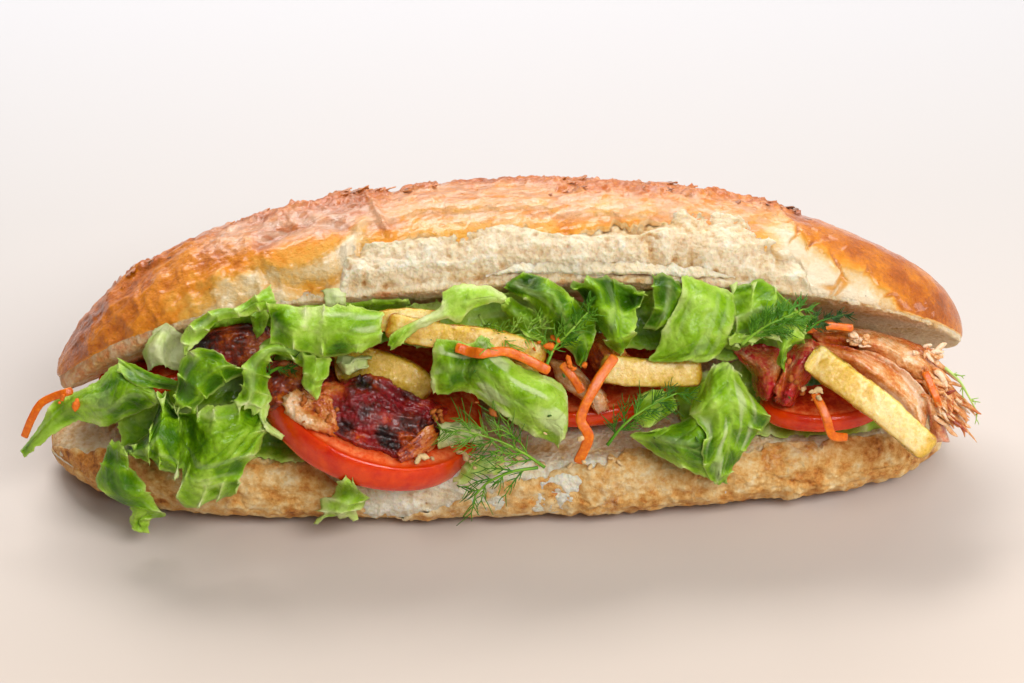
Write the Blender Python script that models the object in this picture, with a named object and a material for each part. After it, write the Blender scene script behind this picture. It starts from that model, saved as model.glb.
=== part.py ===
"""A long crusty roll, cut along its front side and filled with lettuce, chips, chicken,
tomato slices and carrot shreds. Metres, +X along the roll, +Z up, the mouth faces -Y."""
import math

import bmesh
import bpy
import numpy as np

MM = 0.001

# The mouth of the roll faces forwards and upwards. Fillings are placed in it by three numbers in
# millimetres: along the roll, up the face of the filling, and out of the mouth.
FACE_TILT = math.radians(35.0)
UP = np.array([0.0, math.sin(FACE_TILT), math.cos(FACE_TILT)])
OUT = np.array([0.0, -math.cos(FACE_TILT), math.sin(FACE_TILT)])

HALF_LENGTH = 140.0
HALF_WIDTH = 38.0
LOWER_HEIGHT = 28.0
BASE_STEP = 0.7  # the sides start this far above the flat base, so that it rests firmly
DOME_HEIGHT = 37.0
HINGE_Y = 36.0
HINGE_Z = 28.0
OPEN_ANGLE = 44.5
LOOP_POINTS = 24
STATIONS = 21

GAP = 0.4
CELL = 0.5
MAP_X = (-170.0, 170.0)
MAP_UP = (-40.0, 110.0)

COLOURS = {
    "crust": (0.52, 0.25, 0.08, 1.0),
    "lettuce": (0.24, 0.42, 0.08, 1.0),
    "chicken": (0.36, 0.15, 0.06, 1.0),
    "tomato": (0.62, 0.12, 0.05, 1.0),
    "chip": (0.80, 0.55, 0.18, 1.0),
    "carrot": (0.85, 0.30, 0.04, 1.0),
}


def clear_scene():
    for obj in list(bpy.data.objects):
        bpy.data.objects.remove(obj, do_unlink=True)


def finish(name, kind, bm):
    """Closes the working mesh into a named object with its own material."""
    bmesh.ops.recalc_face_normals(bm, faces=bm.faces[:])
    if bm.calc_volume(signed=True) < 0.0:
        bmesh.ops.reverse_faces(bm, faces=bm.faces[:])
    mesh = bpy.data.meshes.new(name)
    bm.to_mesh(mesh)
    bm.free()
    mesh.shade_smooth()
    obj = bpy.data.objects.new(name, mesh)
    bpy.context.scene.collection.objects.link(obj)
    material = bpy.data.materials.new(name)
    material.use_nodes = True
    shader = material.node_tree.nodes["Principled BSDF"]
    shader.inputs["Base Color"].default_value = COLOURS[kind]
    shader.inputs["Roughness"].default_value = 0.5
    mesh.materials.append(material)
    return obj


# The roll.

def taper(s, power, root):
    """How full the roll is at s, from -1 at the left end to 1 at the right end."""
    return (1.0 - abs(s) ** power) ** root


def lower_loop(s):
    """One section of the lower half: a flat base, bulging sides and a slightly hollow cut face."""
    blunt = 3.2 if s < 0.0 else 4.4
    width = HALF_WIDTH * taper(s, blunt, 0.5)
    height = 3.0 + (LOWER_HEIGHT - 3.0) * taper(s, 4.0, 0.5)
    beyond = max(0.0, 2.0 * abs(s) - 1.0)
    lift = (6.0 if s < 0.0 else 3.0) * beyond ** 3.5 + BASE_STEP * min(1.0, 6.0 * beyond)
    y_mid = 1.5 + 3.0 * s * s
    loop = []
    for k in range(LOOP_POINTS):
        turn = 2.0 * math.pi * k / LOOP_POINTS
        side, rise = math.cos(turn), math.sin(turn)
        y = width * math.copysign(abs(side) ** 0.8, side)
        if rise < 0.0:
            z = 0.5 * height - (0.5 * height + 0.8) * abs(rise) ** 0.7
            z = z + BASE_STEP if z > 0.0 else 0.0
        else:
            z = 0.5 * height + 0.5 * height * rise ** 0.5
            z -= 0.22 * height * max(0.0, rise - 0.5)
        loop.append((s * (HALF_LENGTH + 0.5) - 4.0, y + y_mid, z + lift))
    return loop


def lid_axis(s):
    """Middle of the lid's cut face and its opening angle at s."""
    start = math.radians(OPEN_ANGLE)
    y = HINGE_Y - 36.0 * math.cos(start)
    z = HINGE_Z + 36.0 * math.sin(start)
    if s < 0.0:
        return y - 6.0 * s * s, z + 4.4 * s + 14.3 * s ** 7, math.radians(OPEN_ANGLE - 7.7 * s * s)
    return y - 6.0 * s * s, z - 15.2 * s ** 2.5, math.radians(OPEN_ANGLE)


def upper_loop(s):
    """One section of the lid: a dome over a nearly flat cut face, turned up about the hinge."""
    width = HALF_WIDTH * taper(s, 3.4, 0.5)
    full = taper(s, 2.2, 0.63) if s < 0.0 else taper(s, 2.0, 0.45)
    dome = 3.0 + (DOME_HEIGHT - 3.0) * full
    y_mid, z_mid, angle = lid_axis(s)
    loop = []
    for k in range(LOOP_POINTS):
        turn = 2.0 * math.pi * k / LOOP_POINTS
        side, rise = math.cos(turn), math.sin(turn)
        p = width * math.copysign(abs(side) ** 0.85, side)
        if rise < 0.0:
            q = -2.0 * abs(rise) ** 0.5 + 2.5 * max(0.0, abs(rise) - 0.6)
        else:
            q = dome * rise ** 0.8
        y = y_mid - p * math.cos(angle) + q * math.sin(angle)
        z = z_mid + p * math.sin(angle) + q * math.cos(angle)
        loop.append((s * HALF_LENGTH, y, z))
    return loop


def neck_loop(s):
    """One section of the hinge: an uncut ridge of crust along the back."""
    shrink = taper(s / 0.75, 4.0, 0.5)
    y_mid, z_mid, angle = lid_axis(s)
    lid_width = HALF_WIDTH * taper(s, 3.4, 0.5) - 9.0
    lid_back = (y_mid + lid_width * math.cos(angle), z_mid - lid_width * math.sin(angle))
    y_low = HALF_WIDTH * taper(s, 3.2, 0.5) - 8.0
    z_low = 0.7 * LOWER_HEIGHT
    loop = []
    for k in range(12):
        turn = 2.0 * math.pi * k / 12
        y = 0.5 * (lid_back[0] + y_low) + 8.0 * math.cos(turn) * shrink
        z = 0.5 * (lid_back[1] + z_low) + 10.0 * math.sin(turn) * shrink
        loop.append((s * HALF_LENGTH, y, z))
    return loop


def loft(name, section, reach, stations):
    """A closed body through the sections, bridged loop by loop and capped at both ends."""
    bm = bmesh.new()
    rings = []
    for k in range(stations):
        s = -math.cos(math.pi * k / (stations - 1)) * reach
        s = 0.45 * s + 0.55 * reach * (2.0 * k / (stations - 1) - 1.0)
        points = section(s)
        verts = [bm.verts.new([c * MM for c in point]) for point in points]
        rings.append(verts)
    for first, second in zip(rings, rings[1:]):
        edges = []
        for ring in (first, second):
            for a, b in zip(ring, ring[1:] + ring[:1]):
                edge = bm.edges.get((a, b))
                edges.append(edge if edge else bm.edges.new((a, b)))
        bmesh.ops.bridge_loops(bm, edges=edges)
    bm.faces.new(rings[0])
    bm.faces.new(rings[-1])
    return bm, np.array([[v.co for v in ring] for ring in rings]) / MM


def make_roll():
    lower_mesh, lower_points = loft("lower", lower_loop, 0.99, STATIONS)
    roll = finish("bread_roll", "crust", lower_mesh)
    upper_mesh, upper_points = loft("upper", upper_loop, 0.99, STATIONS)
    lid = finish("lid_shape", "crust", upper_mesh)
    neck_mesh, _ = loft("neck", neck_loop, 0.74, 9)
    neck = finish("neck_shape", "crust", neck_mesh)
    for part in (lid, neck):
        part.hide_render = True
        part.display_type = "WIRE"
        union = roll.modifiers.new(part.name, "BOOLEAN")
        union.operation = "UNION"
        union.solver = "EXACT"
        union.object = part
    return [lower_points, upper_points]


# Laying the fillings, from the back of the mouth to the front. The ground holds how far out of
# the mouth the pieces laid so far reach at every place of the face.

ground = np.full(
    (int((MAP_X[1] - MAP_X[0]) / CELL), int((MAP_UP[1] - MAP_UP[0]) / CELL)), -60.0
)


def lattice(steps):
    """Weights of evenly spread points in a triangle."""
    return np.array(
        [(i, j, steps - i - j) for i in range(steps + 1) for j in range(steps + 1 - i)]
    ) / steps


def corners(count_u, count_v, closed=False):
    """Corner numbers of the triangles of a grid, with both ways of splitting every square."""
    i, j = np.meshgrid(np.arange(count_u - 1), np.arange(count_v if closed else count_v - 1))
    i, j = i.ravel(), j.ravel()
    k = (j + 1) % count_v
    a, b = i * count_v + j, (i + 1) * count_v + j
    c, d = (i + 1) * count_v + k, i * count_v + k
    return np.concatenate(
        [np.stack(t, 1) for t in ((a, b, c), (a, c, d), (a, b, d), (b, c, d))]
    )


def cells(points):
    i = ((points[..., 0] - MAP_X[0]) / CELL).astype(int).clip(1, ground.shape[0] - 2)
    j = ((points[..., 1] - MAP_UP[0]) / CELL).astype(int).clip(1, ground.shape[1] - 2)
    return i, j


def spread(points, triangles, steps=12):
    """Evenly spread points of all the triangles."""
    return np.einsum("sw,twc->tsc", lattice(steps), points[triangles])


def raise_ground(points, triangles):
    """Takes the front of a piece into the ground."""
    samples = spread(points, triangles)
    i, j = cells(samples)
    for di in (-1, 0, 1):
        for dj in (-1, 0, 1):
            np.maximum.at(ground, (i + di, j + dj), samples[..., 2])


def lay(place, front, back, stiff):
    """Lifts a piece clear of the ground. A stiff piece keeps its front and is pressed in at the
    back; a leaf is lifted as a whole wherever something lies behind it."""
    shape = front.shape
    triangles = corners(*shape)
    flat = place.reshape(-1, 2)
    full = front - back
    for _ in range(8):
        samples = spread(np.column_stack([flat, back.ravel()]), triangles)
        i, j = cells(samples)
        short = (ground[i, j] + GAP - samples[..., 2]).max(1)
        lift = np.zeros(flat.shape[0])
        for corner in range(3):
            np.maximum.at(lift, triangles[:, corner], short)
        if lift.max() <= 0.0:
            break
        lift = lift.reshape(shape)
        if not stiff:
            for _ in range(2):
                wide = np.pad(lift, 1, mode="edge")
                mean = (wide[:-2, 1:-1] + wide[2:, 1:-1] + wide[1:-1, :-2] + wide[1:-1, 2:]) / 4.0
                lift = np.maximum(lift, mean)
        back = back + lift
        if stiff:
            front = np.maximum(front, back + 0.7 * full)
        else:
            front = front + lift
    raise_ground(np.column_stack([flat, front.ravel()]), triangles)
    return front, back


def build(name, kind, place, front, back, stiff):
    """One filling: a grid for its front, extruded to its back."""
    front, back = lay(place, front, back, stiff)
    count_u, count_v = front.shape
    bm = bmesh.new()
    bmesh.ops.create_grid(bm, x_segments=count_u - 1, y_segments=count_v - 1, size=1.0)
    index = {}
    for vert in bm.verts:
        i = round((vert.co.x + 1.0) / 2.0 * (count_u - 1))
        j = round((vert.co.y + 1.0) / 2.0 * (count_v - 1))
        index[vert] = (i, j)
    faces = bm.faces[:]
    made = bmesh.ops.extrude_face_region(bm, geom=faces, use_keep_orig=True)
    behind = [v for v in made["geom"] if isinstance(v, bmesh.types.BMVert)]
    for vert in behind:
        i = round((vert.co.x + 1.0) / 2.0 * (count_u - 1))
        j = round((vert.co.y + 1.0) / 2.0 * (count_v - 1))
        x, up = place[i, j]
        vert.co = (np.array([x, 0.0, 0.0]) + up * UP + back[i, j] * OUT) * MM
    for vert, (i, j) in index.items():
        x, up = place[i, j]
        vert.co = (np.array([x, 0.0, 0.0]) + up * UP + front[i, j] * OUT) * MM
    return finish(name, kind, bm)


def curve(points, count):
    """A smooth line through the points, with the same number of steps between each two."""
    points = np.asarray(points, dtype=float)
    knots = np.arange(len(points))
    wide = np.vstack([2.0 * points[0] - points[1], points, 2.0 * points[-1] - points[-2]])
    t = np.linspace(0.0, len(points) - 1.0, count)
    k = np.minimum(t.astype(int), len(knots) - 2)
    f = (t - k)[:, None]
    a, b, c, d = wide[k], wide[k + 1], wide[k + 2], wide[k + 3]
    return 0.5 * (2 * b + (c - a) * f + (2 * a - 5 * b + 4 * c - d) * f ** 2
                  + (3 * b - a - 3 * c + d) * f ** 3)


def sides(path):
    """Unit vectors across the path, in the face of the filling."""
    along = np.gradient(path[:, :2], axis=0)
    along /= np.linalg.norm(along, axis=1)[:, None]
    return np.stack([-along[:, 1], along[:, 0]], 1)


def leaf(name, points, cup=0.15, ruffle=1.2, waves=2.5, phase=0.0, count_u=9, count_v=4):
    """A leaf along a path of (along, up, out, half width): cupped across, ruffled at its edges."""
    path = curve(points, count_u)
    v = np.linspace(-1.0, 1.0, count_v)[None, :]
    u = np.linspace(0.0, 1.0, count_u)[:, None]
    half = np.maximum(path[:, 3:4], 0.6)
    place = path[:, None, :2] + sides(path)[:, None, :] * (half * v)[..., None]
    swing = np.sin(2.0 * math.pi * waves * u + phase + 1.7 * v) * ruffle * v ** 2
    middle = path[:, 2:3] - cup * half * v ** 2 + swing
    return build(name, "lettuce", place, middle + 0.5, middle - 0.5, False)


def bar(name, kind, points, half, count_u=8, flat=1.0):
    """A bar of rounded square section along a path of (along, up, out)."""
    path = curve(points, count_u)
    v = np.array([-1.0, -0.72, 0.72, 1.0])[None, :]
    swell = 1.0 + 0.06 * np.sin(np.arange(count_u) * 1.7)[:, None]
    place = path[:, None, :2] + sides(path)[:, None, :] * (half * swell * v)[..., None]
    depth = half * flat * np.array([0.62, 1.0, 1.0, 0.62])[None, :] * swell
    ends = np.ones(count_u)
    ends[[0, -1]] = 0.8
    depth = depth * ends[:, None]
    middle = path[:, 2:3]
    return build(name, kind, place, middle + depth, middle - depth, True)


def round_grid(count):
    """A square grid drawn into a round one: places in a circle of radius 1."""
    u, v = np.meshgrid(np.linspace(-1, 1, count), np.linspace(-1, 1, count), indexing="ij")
    return u * np.sqrt(1.0 - v * v / 2.0), v * np.sqrt(1.0 - u * u / 2.0)


def turned(a, b, half, turn):
    c, s = math.cos(math.radians(turn)), math.sin(math.radians(turn))
    p, q = a * half[0], b * half[1]
    return p * c - q * s, p * s + q * c


def lump(name, middle, half, turn=0.0, thick=8.0, slope=0.0, seed=0.0, count=6):
    """A piece of chicken: an uneven pebble, thick in the middle."""
    a, b = round_grid(count)
    rim = np.hypot(a, b)
    bulge = 1.0 + 0.09 * np.sin(3.0 * np.arctan2(b, a) + seed) * rim
    p, q = turned(a * bulge, b * bulge, half, turn)
    place = np.stack([middle[0] + p, middle[1] + q], -1)
    round_off = np.sqrt(np.clip(1.0 - rim ** 2.6, 0.0, 1.0))
    uneven = 1.0 + 0.16 * np.sin(2.7 * a + seed) * np.cos(3.1 * b - seed)
    depth = 0.6 + (thick - 0.6) * round_off * uneven
    base = middle[2] + slope * q
    return build(name, "chicken", place, base + depth, base - 0.6 * depth, True)


def slice_of_tomato(name, middle, half, thick=6.0, slope=-1.2, turn=0.0, count=7):
    """A round slice of even thickness with a softened rim."""
    a, b = round_grid(count)
    rim = np.hypot(a, b)
    p, q = turned(a, b, half, turn)
    place = np.stack([middle[0] + p, middle[1] + q], -1)
    soft = np.clip((1.0 - rim) * 6.0, 0.0, 1.0)
    depth = 0.5 * thick * math.hypot(1.0, slope) * (0.75 + 0.25 * soft)
    base = middle[2] + slope * q
    return build(name, "tomato", place, base + depth, base - depth, True)


def cover_roll(shapes):
    for rings in shapes:
        triangles = corners(rings.shape[0], rings.shape[1], closed=True)
        flat = rings.reshape(-1, 3)
        face = np.column_stack([flat[:, 0], flat @ UP, flat @ OUT])
        raise_ground(face, triangles)


clear_scene()
cover_roll(make_roll())

# Underneath: flat on the lower half, mostly hidden.
leaf("bed_leaf_left", [(-122, 17, 20, 8), (-96, 20, 24, 13), (-66, 18, 26, 13), (-34, 14, 28, 8)],
     cup=-0.2, ruffle=2.0)
leaf("bed_leaf_right", [(50, 17, 22, 8), (76, 20, 24, 12), (104, 20, 24, 12), (126, 19, 22, 6)],
     cup=-0.2, ruffle=2.0, phase=1.0)
slice_of_tomato("tomato_slice_front", (-44, 14, 27), (32, 18), slope=-1.15, turn=-6)
slice_of_tomato("tomato_slice_middle", (26, 19, 24), (29, 14), slope=-1.1)
slice_of_tomato("tomato_slice_right", (95, 15, 27), (18, 9), slope=-0.9, thick=5.0)
slice_of_tomato("tomato_slice_left", (-112, 31, 22), (14, 8), slope=-0.5, thick=5.0, turn=12)
leaf("back_leaf_left", [(-100, 38, 24, 5), (-84, 41, 27, 8), (-60, 42, 28, 8), (-30, 45, 27, 5)],
     ruffle=2.0)
leaf("back_leaf_middle", [(-34, 44, 27, 6), (-12, 45, 28, 8), (8, 46, 28, 8), (22, 45, 27, 5)],
     ruffle=2.0, phase=1.0)
leaf("back_leaf_right", [(24, 43, 26, 6), (44, 43, 28, 9), (72, 39, 28, 10), (98, 32, 26, 5)],
     ruffle=2.0, phase=2.0)
lump("chicken_left_back", (-82, 41, 30), (13, 12), turn=10, thick=8, seed=1)
lump("chicken_left", (-70, 26, 34), (15, 9), turn=-6, thick=7, seed=2)
lump("chicken_pale_slab", (12, 25, 36), (13, 7), turn=-10, thick=5, seed=3)
lump("chicken_right_slab", (109, 26, 32), (27, 9), turn=-12, thick=7, seed=4)
lump("chicken_right_shred", (116, 16, 40), (22, 8), turn=-20, thick=6, seed=5)
lump("chicken_right_end", (128, 9, 38), (9, 8), turn=-30, thick=6, seed=6)

# Chips and the larger pieces of chicken.
leaf("folded_heart_leaf", [(-116, 37, 28, 3), (-106, 41, 33, 6), (-97, 38, 32, 4)], cup=-0.5)
bar("chip_back", "chip", [(-44, 46, 36), (-34, 47, 38), (-23, 46, 38)], 3.4, count_u=5)
bar("chip_sliver", "chip", [(-14, 36, 42), (-3, 33, 43), (8, 30, 43)], 2.6, count_u=5)
bar("chip_curved", "chip", [(-55, 32, 40), (-45, 33, 44), (-34, 29, 46), (-27, 23, 45)], 4.6)
lump("chicken_charred", (-45, 18, 44), (22, 13), turn=-4, thick=9, seed=7, count=8)
lump("chicken_strip", (-31, 7, 49), (9, 4), turn=28, thick=4, seed=8)
lump("chicken_middle", (28, 34, 43), (12, 9), turn=10, thick=8, seed=9)
lump("chicken_crisp", (25, 20, 46), (8, 6), turn=-20, thick=5, seed=10)
lump("chicken_wing_left", (71, 24, 46), (11, 12), turn=30, thick=8, seed=11)
lump("chicken_wing_right", (87, 23, 48), (9, 12), turn=-18, thick=8, seed=12)
bar("chip_long", "chip", [(-39, 45, 44), (-23, 41, 49), (-8, 39, 50), (8, 34, 47)], 4.4)
bar("chip_middle", "chip", [(25, 29, 50), (40, 27, 51), (56, 27, 50)], 4.8, count_u=6)
bar("chip_right", "chip", [(88, 31, 46), (99, 22, 52), (109, 14, 54), (123, 1, 52)], 5.4)

# Leaves and shreds on top.
leaf("corner_leaf", [(-152, 7, 30, 1), (-143, 18, 36, 3.2), (-130, 24, 44, 6), (-117, 26, 50, 8),
                     (-108, 22, 48, 3)], cup=-0.3, ruffle=1.6)
leaf("corner_leaf_roll", [(-121, 34, 46, 2), (-111, 30, 47, 3.2), (-100, 26, 44, 2)], cup=0.6)
leaf("shade_leaf", [(34, 54, 40, 4), (45, 50, 43, 6), (50, 42, 43, 5)])
leaf("dill_leaf", [(72, 54, 46, 4), (75, 47, 51, 9), (76, 40, 53, 11), (76, 33, 52, 9)],
     ruffle=1.8, waves=1.6)
leaf("green_flap", [(-106, 31, 48, 5), (-96, 30, 51, 8), (-88, 32, 51, 5), (-79, 36, 47, 1)],
     ruffle=1.5)
leaf("broad_ruffle", [(-94, 24, 47, 10), (-97, 12, 52, 19), (-99, 0, 51, 19), (-100, -10, 46, 9)],
     cup=-0.1, ruffle=3.0, waves=1.6, count_v=6)
leaf("hanging_lobe", [(-121, 11, 42, 2.5), (-120, 1, 45, 5.5), (-116, -7, 42, 6),
                      (-113, -17, 32, 2.5)], ruffle=1.4)
leaf("side_ribbon", [(-77, 29, 44, 1.2), (-76, 20, 47, 1.8), (-71, 11, 48, 1)], ruffle=0.4)
leaf("climbing_band", [(-84, 17, 50, 5), (-82, 27, 53, 4.5), (-73, 35, 55, 3), (-56, 35, 54, 2)],
     cup=0.3)
leaf("hanging_tip", [(-60, 35, 52, 4.5), (-61, 29, 53, 3.6), (-61, 22, 50, 1)], count_u=6)
leaf("pale_ribbon", [(-97, 37, 50, 3), (-96, 46, 55, 3.2), (-85, 51, 59, 2.4), (-72, 54, 61, 3)],
     cup=0.4, ruffle=0.6)
leaf("broad_leaf", [(-75, 46, 54, 5), (-63, 43, 59, 8), (-50, 42, 60, 8), (-38, 43, 56, 4)],
     cup=0.35, ruffle=1.6)
leaf("striped_leaf", [(-28, 28, 50, 7), (-17, 28, 55, 9), (-6, 22, 58, 10), (5, 15, 58, 9.5),
                      (13, 8, 54, 5)], cup=0.2, ruffle=1.6, count_v=5)
bar("carrot_curl", "carrot", [(-19, 37, 56), (-12, 35, 58), (-3, 35, 58), (9, 29, 57)], 1.3)
leaf("long_ribbon", [(-38, 38, 56, 2.2), (-29, 43, 58, 2), (-20, 51, 59, 3.2), (-4, 50, 57, 3)],
     ruffle=0.8)
leaf("rolled_leaf", [(-3, 54, 50, 3), (8, 53, 55, 6), (15, 44, 56, 7.5), (18, 30, 51, 2)],
     cup=0.6, ruffle=1.0)
leaf("heart_ruffle", [(26, 56, 50, 7), (28, 49, 55, 10), (30, 40, 56, 6.5), (30, 33, 53, 1.5)],
     ruffle=1.8)
leaf("square_leaf", [(56, 56, 56, 8), (54, 47, 60, 9.3), (51, 39, 61, 10), (48, 31, 58, 8.5)],
     cup=0.1, ruffle=1.0)
leaf("tongue_leaf", [(87, 38, 55, 2), (81, 37, 59, 3.2), (79, 33, 60, 3.2), (80, 26, 58, 1)],
     ruffle=0.8, count_u=7)
leaf("curl_leaf", [(38, 23, 48, 4), (42, 16, 51, 6), (42, 9, 51, 4)], count_u=6)
leaf("wing_leaf", [(32, 8, 51, 1.5), (43, 6, 53, 6), (54, 2, 54, 8), (63, -6, 50, 2.5)],
     ruffle=1.4)
leaf("crown_leaf", [(63, 30, 56, 3), (61, 20, 60, 9), (63, 9, 60, 13), (65, 0, 55, 8),
                    (61, -9, 48, 2)], ruffle=2.2, waves=2.0, count_v=5)
leaf("low_frill", [(-51, -2, 47, 2.5), (-52, -8, 45, 4), (-54, -14, 40, 5)], ruffle=0.6, count_u=6)
bar("carrot_short", "carrot", [(13, 31, 58), (16, 27, 59), (19, 22, 58)], 1.3, count_u=5)
bar("carrot_long", "carrot", [(29, 33, 58), (23, 25, 61), (18, 15, 61), (20, 9, 60),
                              (17, 1, 55)], 1.6, count_u=9)
bar("carrot_hook", "carrot", [(89, 20, 56), (92, 13, 58), (94, 7, 57), (99, 6, 54)], 1.2, count_u=7)
bar("carrot_back", "carrot", [(87, 39, 40), (94, 40, 42), (102, 39, 41)], 1.4, count_u=5)
bar("carrot_left", "carrot", [(-134, 26, 36), (-143, 23, 35), (-147, 18, 33), (-150, 12, 29)], 1.3,
    count_u=7)
bar("carrot_right", "carrot", [(123, 25, 46), (125, 20, 48), (127, 14, 47)], 1.2, count_u=5)
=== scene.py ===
import math
from types import SimpleNamespace

import bpy
import numpy as np
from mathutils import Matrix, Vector


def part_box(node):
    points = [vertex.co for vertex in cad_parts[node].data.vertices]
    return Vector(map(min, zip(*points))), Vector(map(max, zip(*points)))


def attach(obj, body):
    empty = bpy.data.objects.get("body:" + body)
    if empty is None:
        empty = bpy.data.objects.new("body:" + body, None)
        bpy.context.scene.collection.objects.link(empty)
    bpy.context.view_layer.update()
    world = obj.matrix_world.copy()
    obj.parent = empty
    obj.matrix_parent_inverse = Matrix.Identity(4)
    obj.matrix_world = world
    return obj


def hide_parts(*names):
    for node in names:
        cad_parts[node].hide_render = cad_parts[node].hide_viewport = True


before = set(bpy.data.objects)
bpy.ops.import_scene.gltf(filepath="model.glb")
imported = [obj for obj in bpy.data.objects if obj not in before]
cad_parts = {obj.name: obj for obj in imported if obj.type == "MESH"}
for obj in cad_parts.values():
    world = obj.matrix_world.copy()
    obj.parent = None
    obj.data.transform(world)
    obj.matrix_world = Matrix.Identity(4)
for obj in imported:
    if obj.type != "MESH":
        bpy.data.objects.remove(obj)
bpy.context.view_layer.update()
print("frame loaded")

millimetre = 0.001
faceTilt = math.radians(35.0)  # the mouth faces this far above level
faceUp = np.array([0.0, math.sin(faceTilt), math.cos(faceTilt)])
faceOut = np.array([0.0, -math.cos(faceTilt), math.sin(faceTilt)])


def scatterAt(i, j, k, seed):
    # whole-number places multiplied by large odd numbers and folded: a steady value from -1 to 1
    h = i * 374761393 + j * 668265263 + k * 1442695041 + seed * 974634777
    h = (h & 0xFFFFFFFF).astype(np.uint64)
    h = ((h ^ (h >> np.uint64(13))) * np.uint64(1274126177)) & np.uint64(0xFFFFFFFF)
    h = h ^ (h >> np.uint64(16))
    return (h & np.uint64(0xFFFF)).astype(np.float64) / 32767.5 - 1.0


def noise(points, size, seed=0):
    # value noise: the values of the eight corners of a cell, blended by 3ff - 2fff along each axis
    q = np.asarray(points, dtype=np.float64) / size
    base = np.floor(q)
    f = q - base
    f = f * f * (3.0 - 2.0 * f)
    i, j, k = (base[..., n].astype(np.int64) for n in range(3))
    total = 0.0
    for a in (0, 1):
        for b in (0, 1):
            for c in (0, 1):
                w = ((f[..., 0] if a else 1.0 - f[..., 0])
                     * (f[..., 1] if b else 1.0 - f[..., 1])
                     * (f[..., 2] if c else 1.0 - f[..., 2]))
                total = total + w * scatterAt(i + a, j + b, k + c, seed)
    return total


def layered(points, size, seed=0, layers=4):
    # layers of noise, each of half the size and half the strength of the one before
    total, strength, whole = 0.0, 1.0, 0.0
    for n in range(layers):
        total = total + strength * noise(points, size / 2.0 ** n, seed + 17 * n)
        whole += strength
        strength *= 0.5
    return total / whole


def creased(points, size, seed=0, layers=3):
    # one minus the height of noise, squared: sharp crests between smooth hollows, from 0 to 1
    total, strength, whole = 0.0, 1.0, 0.0
    for n in range(layers):
        total = total + strength * (1.0 - np.abs(noise(points, size / 2.0 ** n, seed + 31 * n))) ** 2
        whole += strength
        strength *= 0.5
    return total / whole


def cellDistances(points, size, seed=0):
    # distances to the nearest and the second nearest of the points strewn one to a cell
    q = np.asarray(points, dtype=np.float64) / size
    base = np.floor(q).astype(np.int64)
    first = np.full(q.shape[:-1], 9.0)
    second = np.full(q.shape[:-1], 9.0)
    for a in (-1, 0, 1):
        for b in (-1, 0, 1):
            for c in (-1, 0, 1):
                cell = base + np.array([a, b, c])
                i, j, k = cell[..., 0], cell[..., 1], cell[..., 2]
                spot = np.stack([scatterAt(i, j, k, seed + n) * 0.45 + 0.5 for n in (1, 2, 3)], -1)
                d = np.linalg.norm(cell + spot - q, axis=-1)
                second = np.minimum(second, np.maximum(first, d))
                first = np.minimum(first, d)
    return first, second


def smooth(low, high, value):
    # 0 below low, 1 above high, eased between them
    t = np.clip((value - low) / (high - low), 0.0, 1.0)
    return t * t * (3.0 - 2.0 * t)


def unit(ways):
    # each direction divided by its length
    return ways / (np.linalg.norm(ways, axis=-1, keepdims=True) + 1e-9)


def sway(points, size, *seeds):
    # numbers of noise for every point, one for each seed
    return np.stack([noise(points, size, seed) for seed in seeds], -1)


def swayFlat(points, size, seed):
    # two numbers of noise for every point, and nothing along the third axis
    return sway(points, size, seed, seed + 1) @ np.eye(2, 3)


def seedOf(name):
    # the letters of a name added up: every piece has noise and draws of its own
    return sum(map(ord, name))


def gridFaces(countU, countV, around=False):
    # corner numbers of the squares of a grid of countU by countV points
    i, j = np.meshgrid(np.arange(countU - 1), np.arange(countV if around else countV - 1),
                       indexing="ij")
    i, j = i.ravel(), j.ravel()
    k = (j + 1) % countV
    return np.stack([i * countV + j, (i + 1) * countV + j, (i + 1) * countV + k, i * countV + k], 1)


def surfaceNormals(points, around=False):
    # cross product of the two slopes of a grid of points
    along = np.gradient(points, axis=0)
    if around:
        across = (np.roll(points, -1, axis=1) - np.roll(points, 1, axis=1)) * 0.5
    else:
        across = np.gradient(points, axis=1)
    n = np.cross(along, across)
    return unit(n)


def outwardNormals(points, around=False, below=0.0):
    # normals turned away from the middle of each section, or from a place below it
    n = surfaceNormals(points, around)
    away = points - points.mean(axis=1, keepdims=True) + (0.0, 0.0, below)
    return n * np.sign((n * away).sum(-1, keepdims=True).mean(axis=1, keepdims=True))


def makePiece(name, points, faces, material, values=None, nodes=(), inward=False):
    # points in millimetres; values are named numbers kept at every point for the material
    points = np.asarray(points, dtype=np.float64).reshape(-1, 3)
    faces = np.asarray(faces)
    if inward:
        faces = faces[:, ::-1]
    mesh = bpy.data.meshes.new(name)
    mesh.vertices.add(len(points))
    mesh.vertices.foreach_set("co", (points * millimetre).ravel())
    sides = faces.shape[1]
    mesh.loops.add(faces.size)
    mesh.loops.foreach_set("vertex_index", faces.ravel().astype(np.int32))
    mesh.polygons.add(len(faces))
    mesh.polygons.foreach_set("loop_start", np.arange(0, faces.size, sides, dtype=np.int32))
    mesh.polygons.foreach_set("loop_total", np.full(len(faces), sides, dtype=np.int32))
    mesh.update(calc_edges=True)
    mesh.validate()
    mesh.shade_smooth()
    for key, numbers in (values or {}).items():
        layer = mesh.attributes.new(key, "FLOAT", "POINT")
        layer.data.foreach_set("value", np.asarray(numbers, dtype=np.float32).ravel())
    mesh.materials.append(material)
    piece = bpy.data.objects.new(name, mesh)
    bpy.context.scene.collection.objects.link(piece)
    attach(piece, "root")
    if nodes:
        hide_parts(*nodes)
    return piece


def colour(red, green, blue):
    # screen values 0 to 255 turned into the renderer's linear ones
    c = np.array([red, green, blue]) / 255.0
    c = np.where(c <= 0.04045, c / 12.92, ((c + 0.055) / 1.055) ** 2.4)
    return (float(c[0]), float(c[1]), float(c[2]), 1.0)


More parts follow.
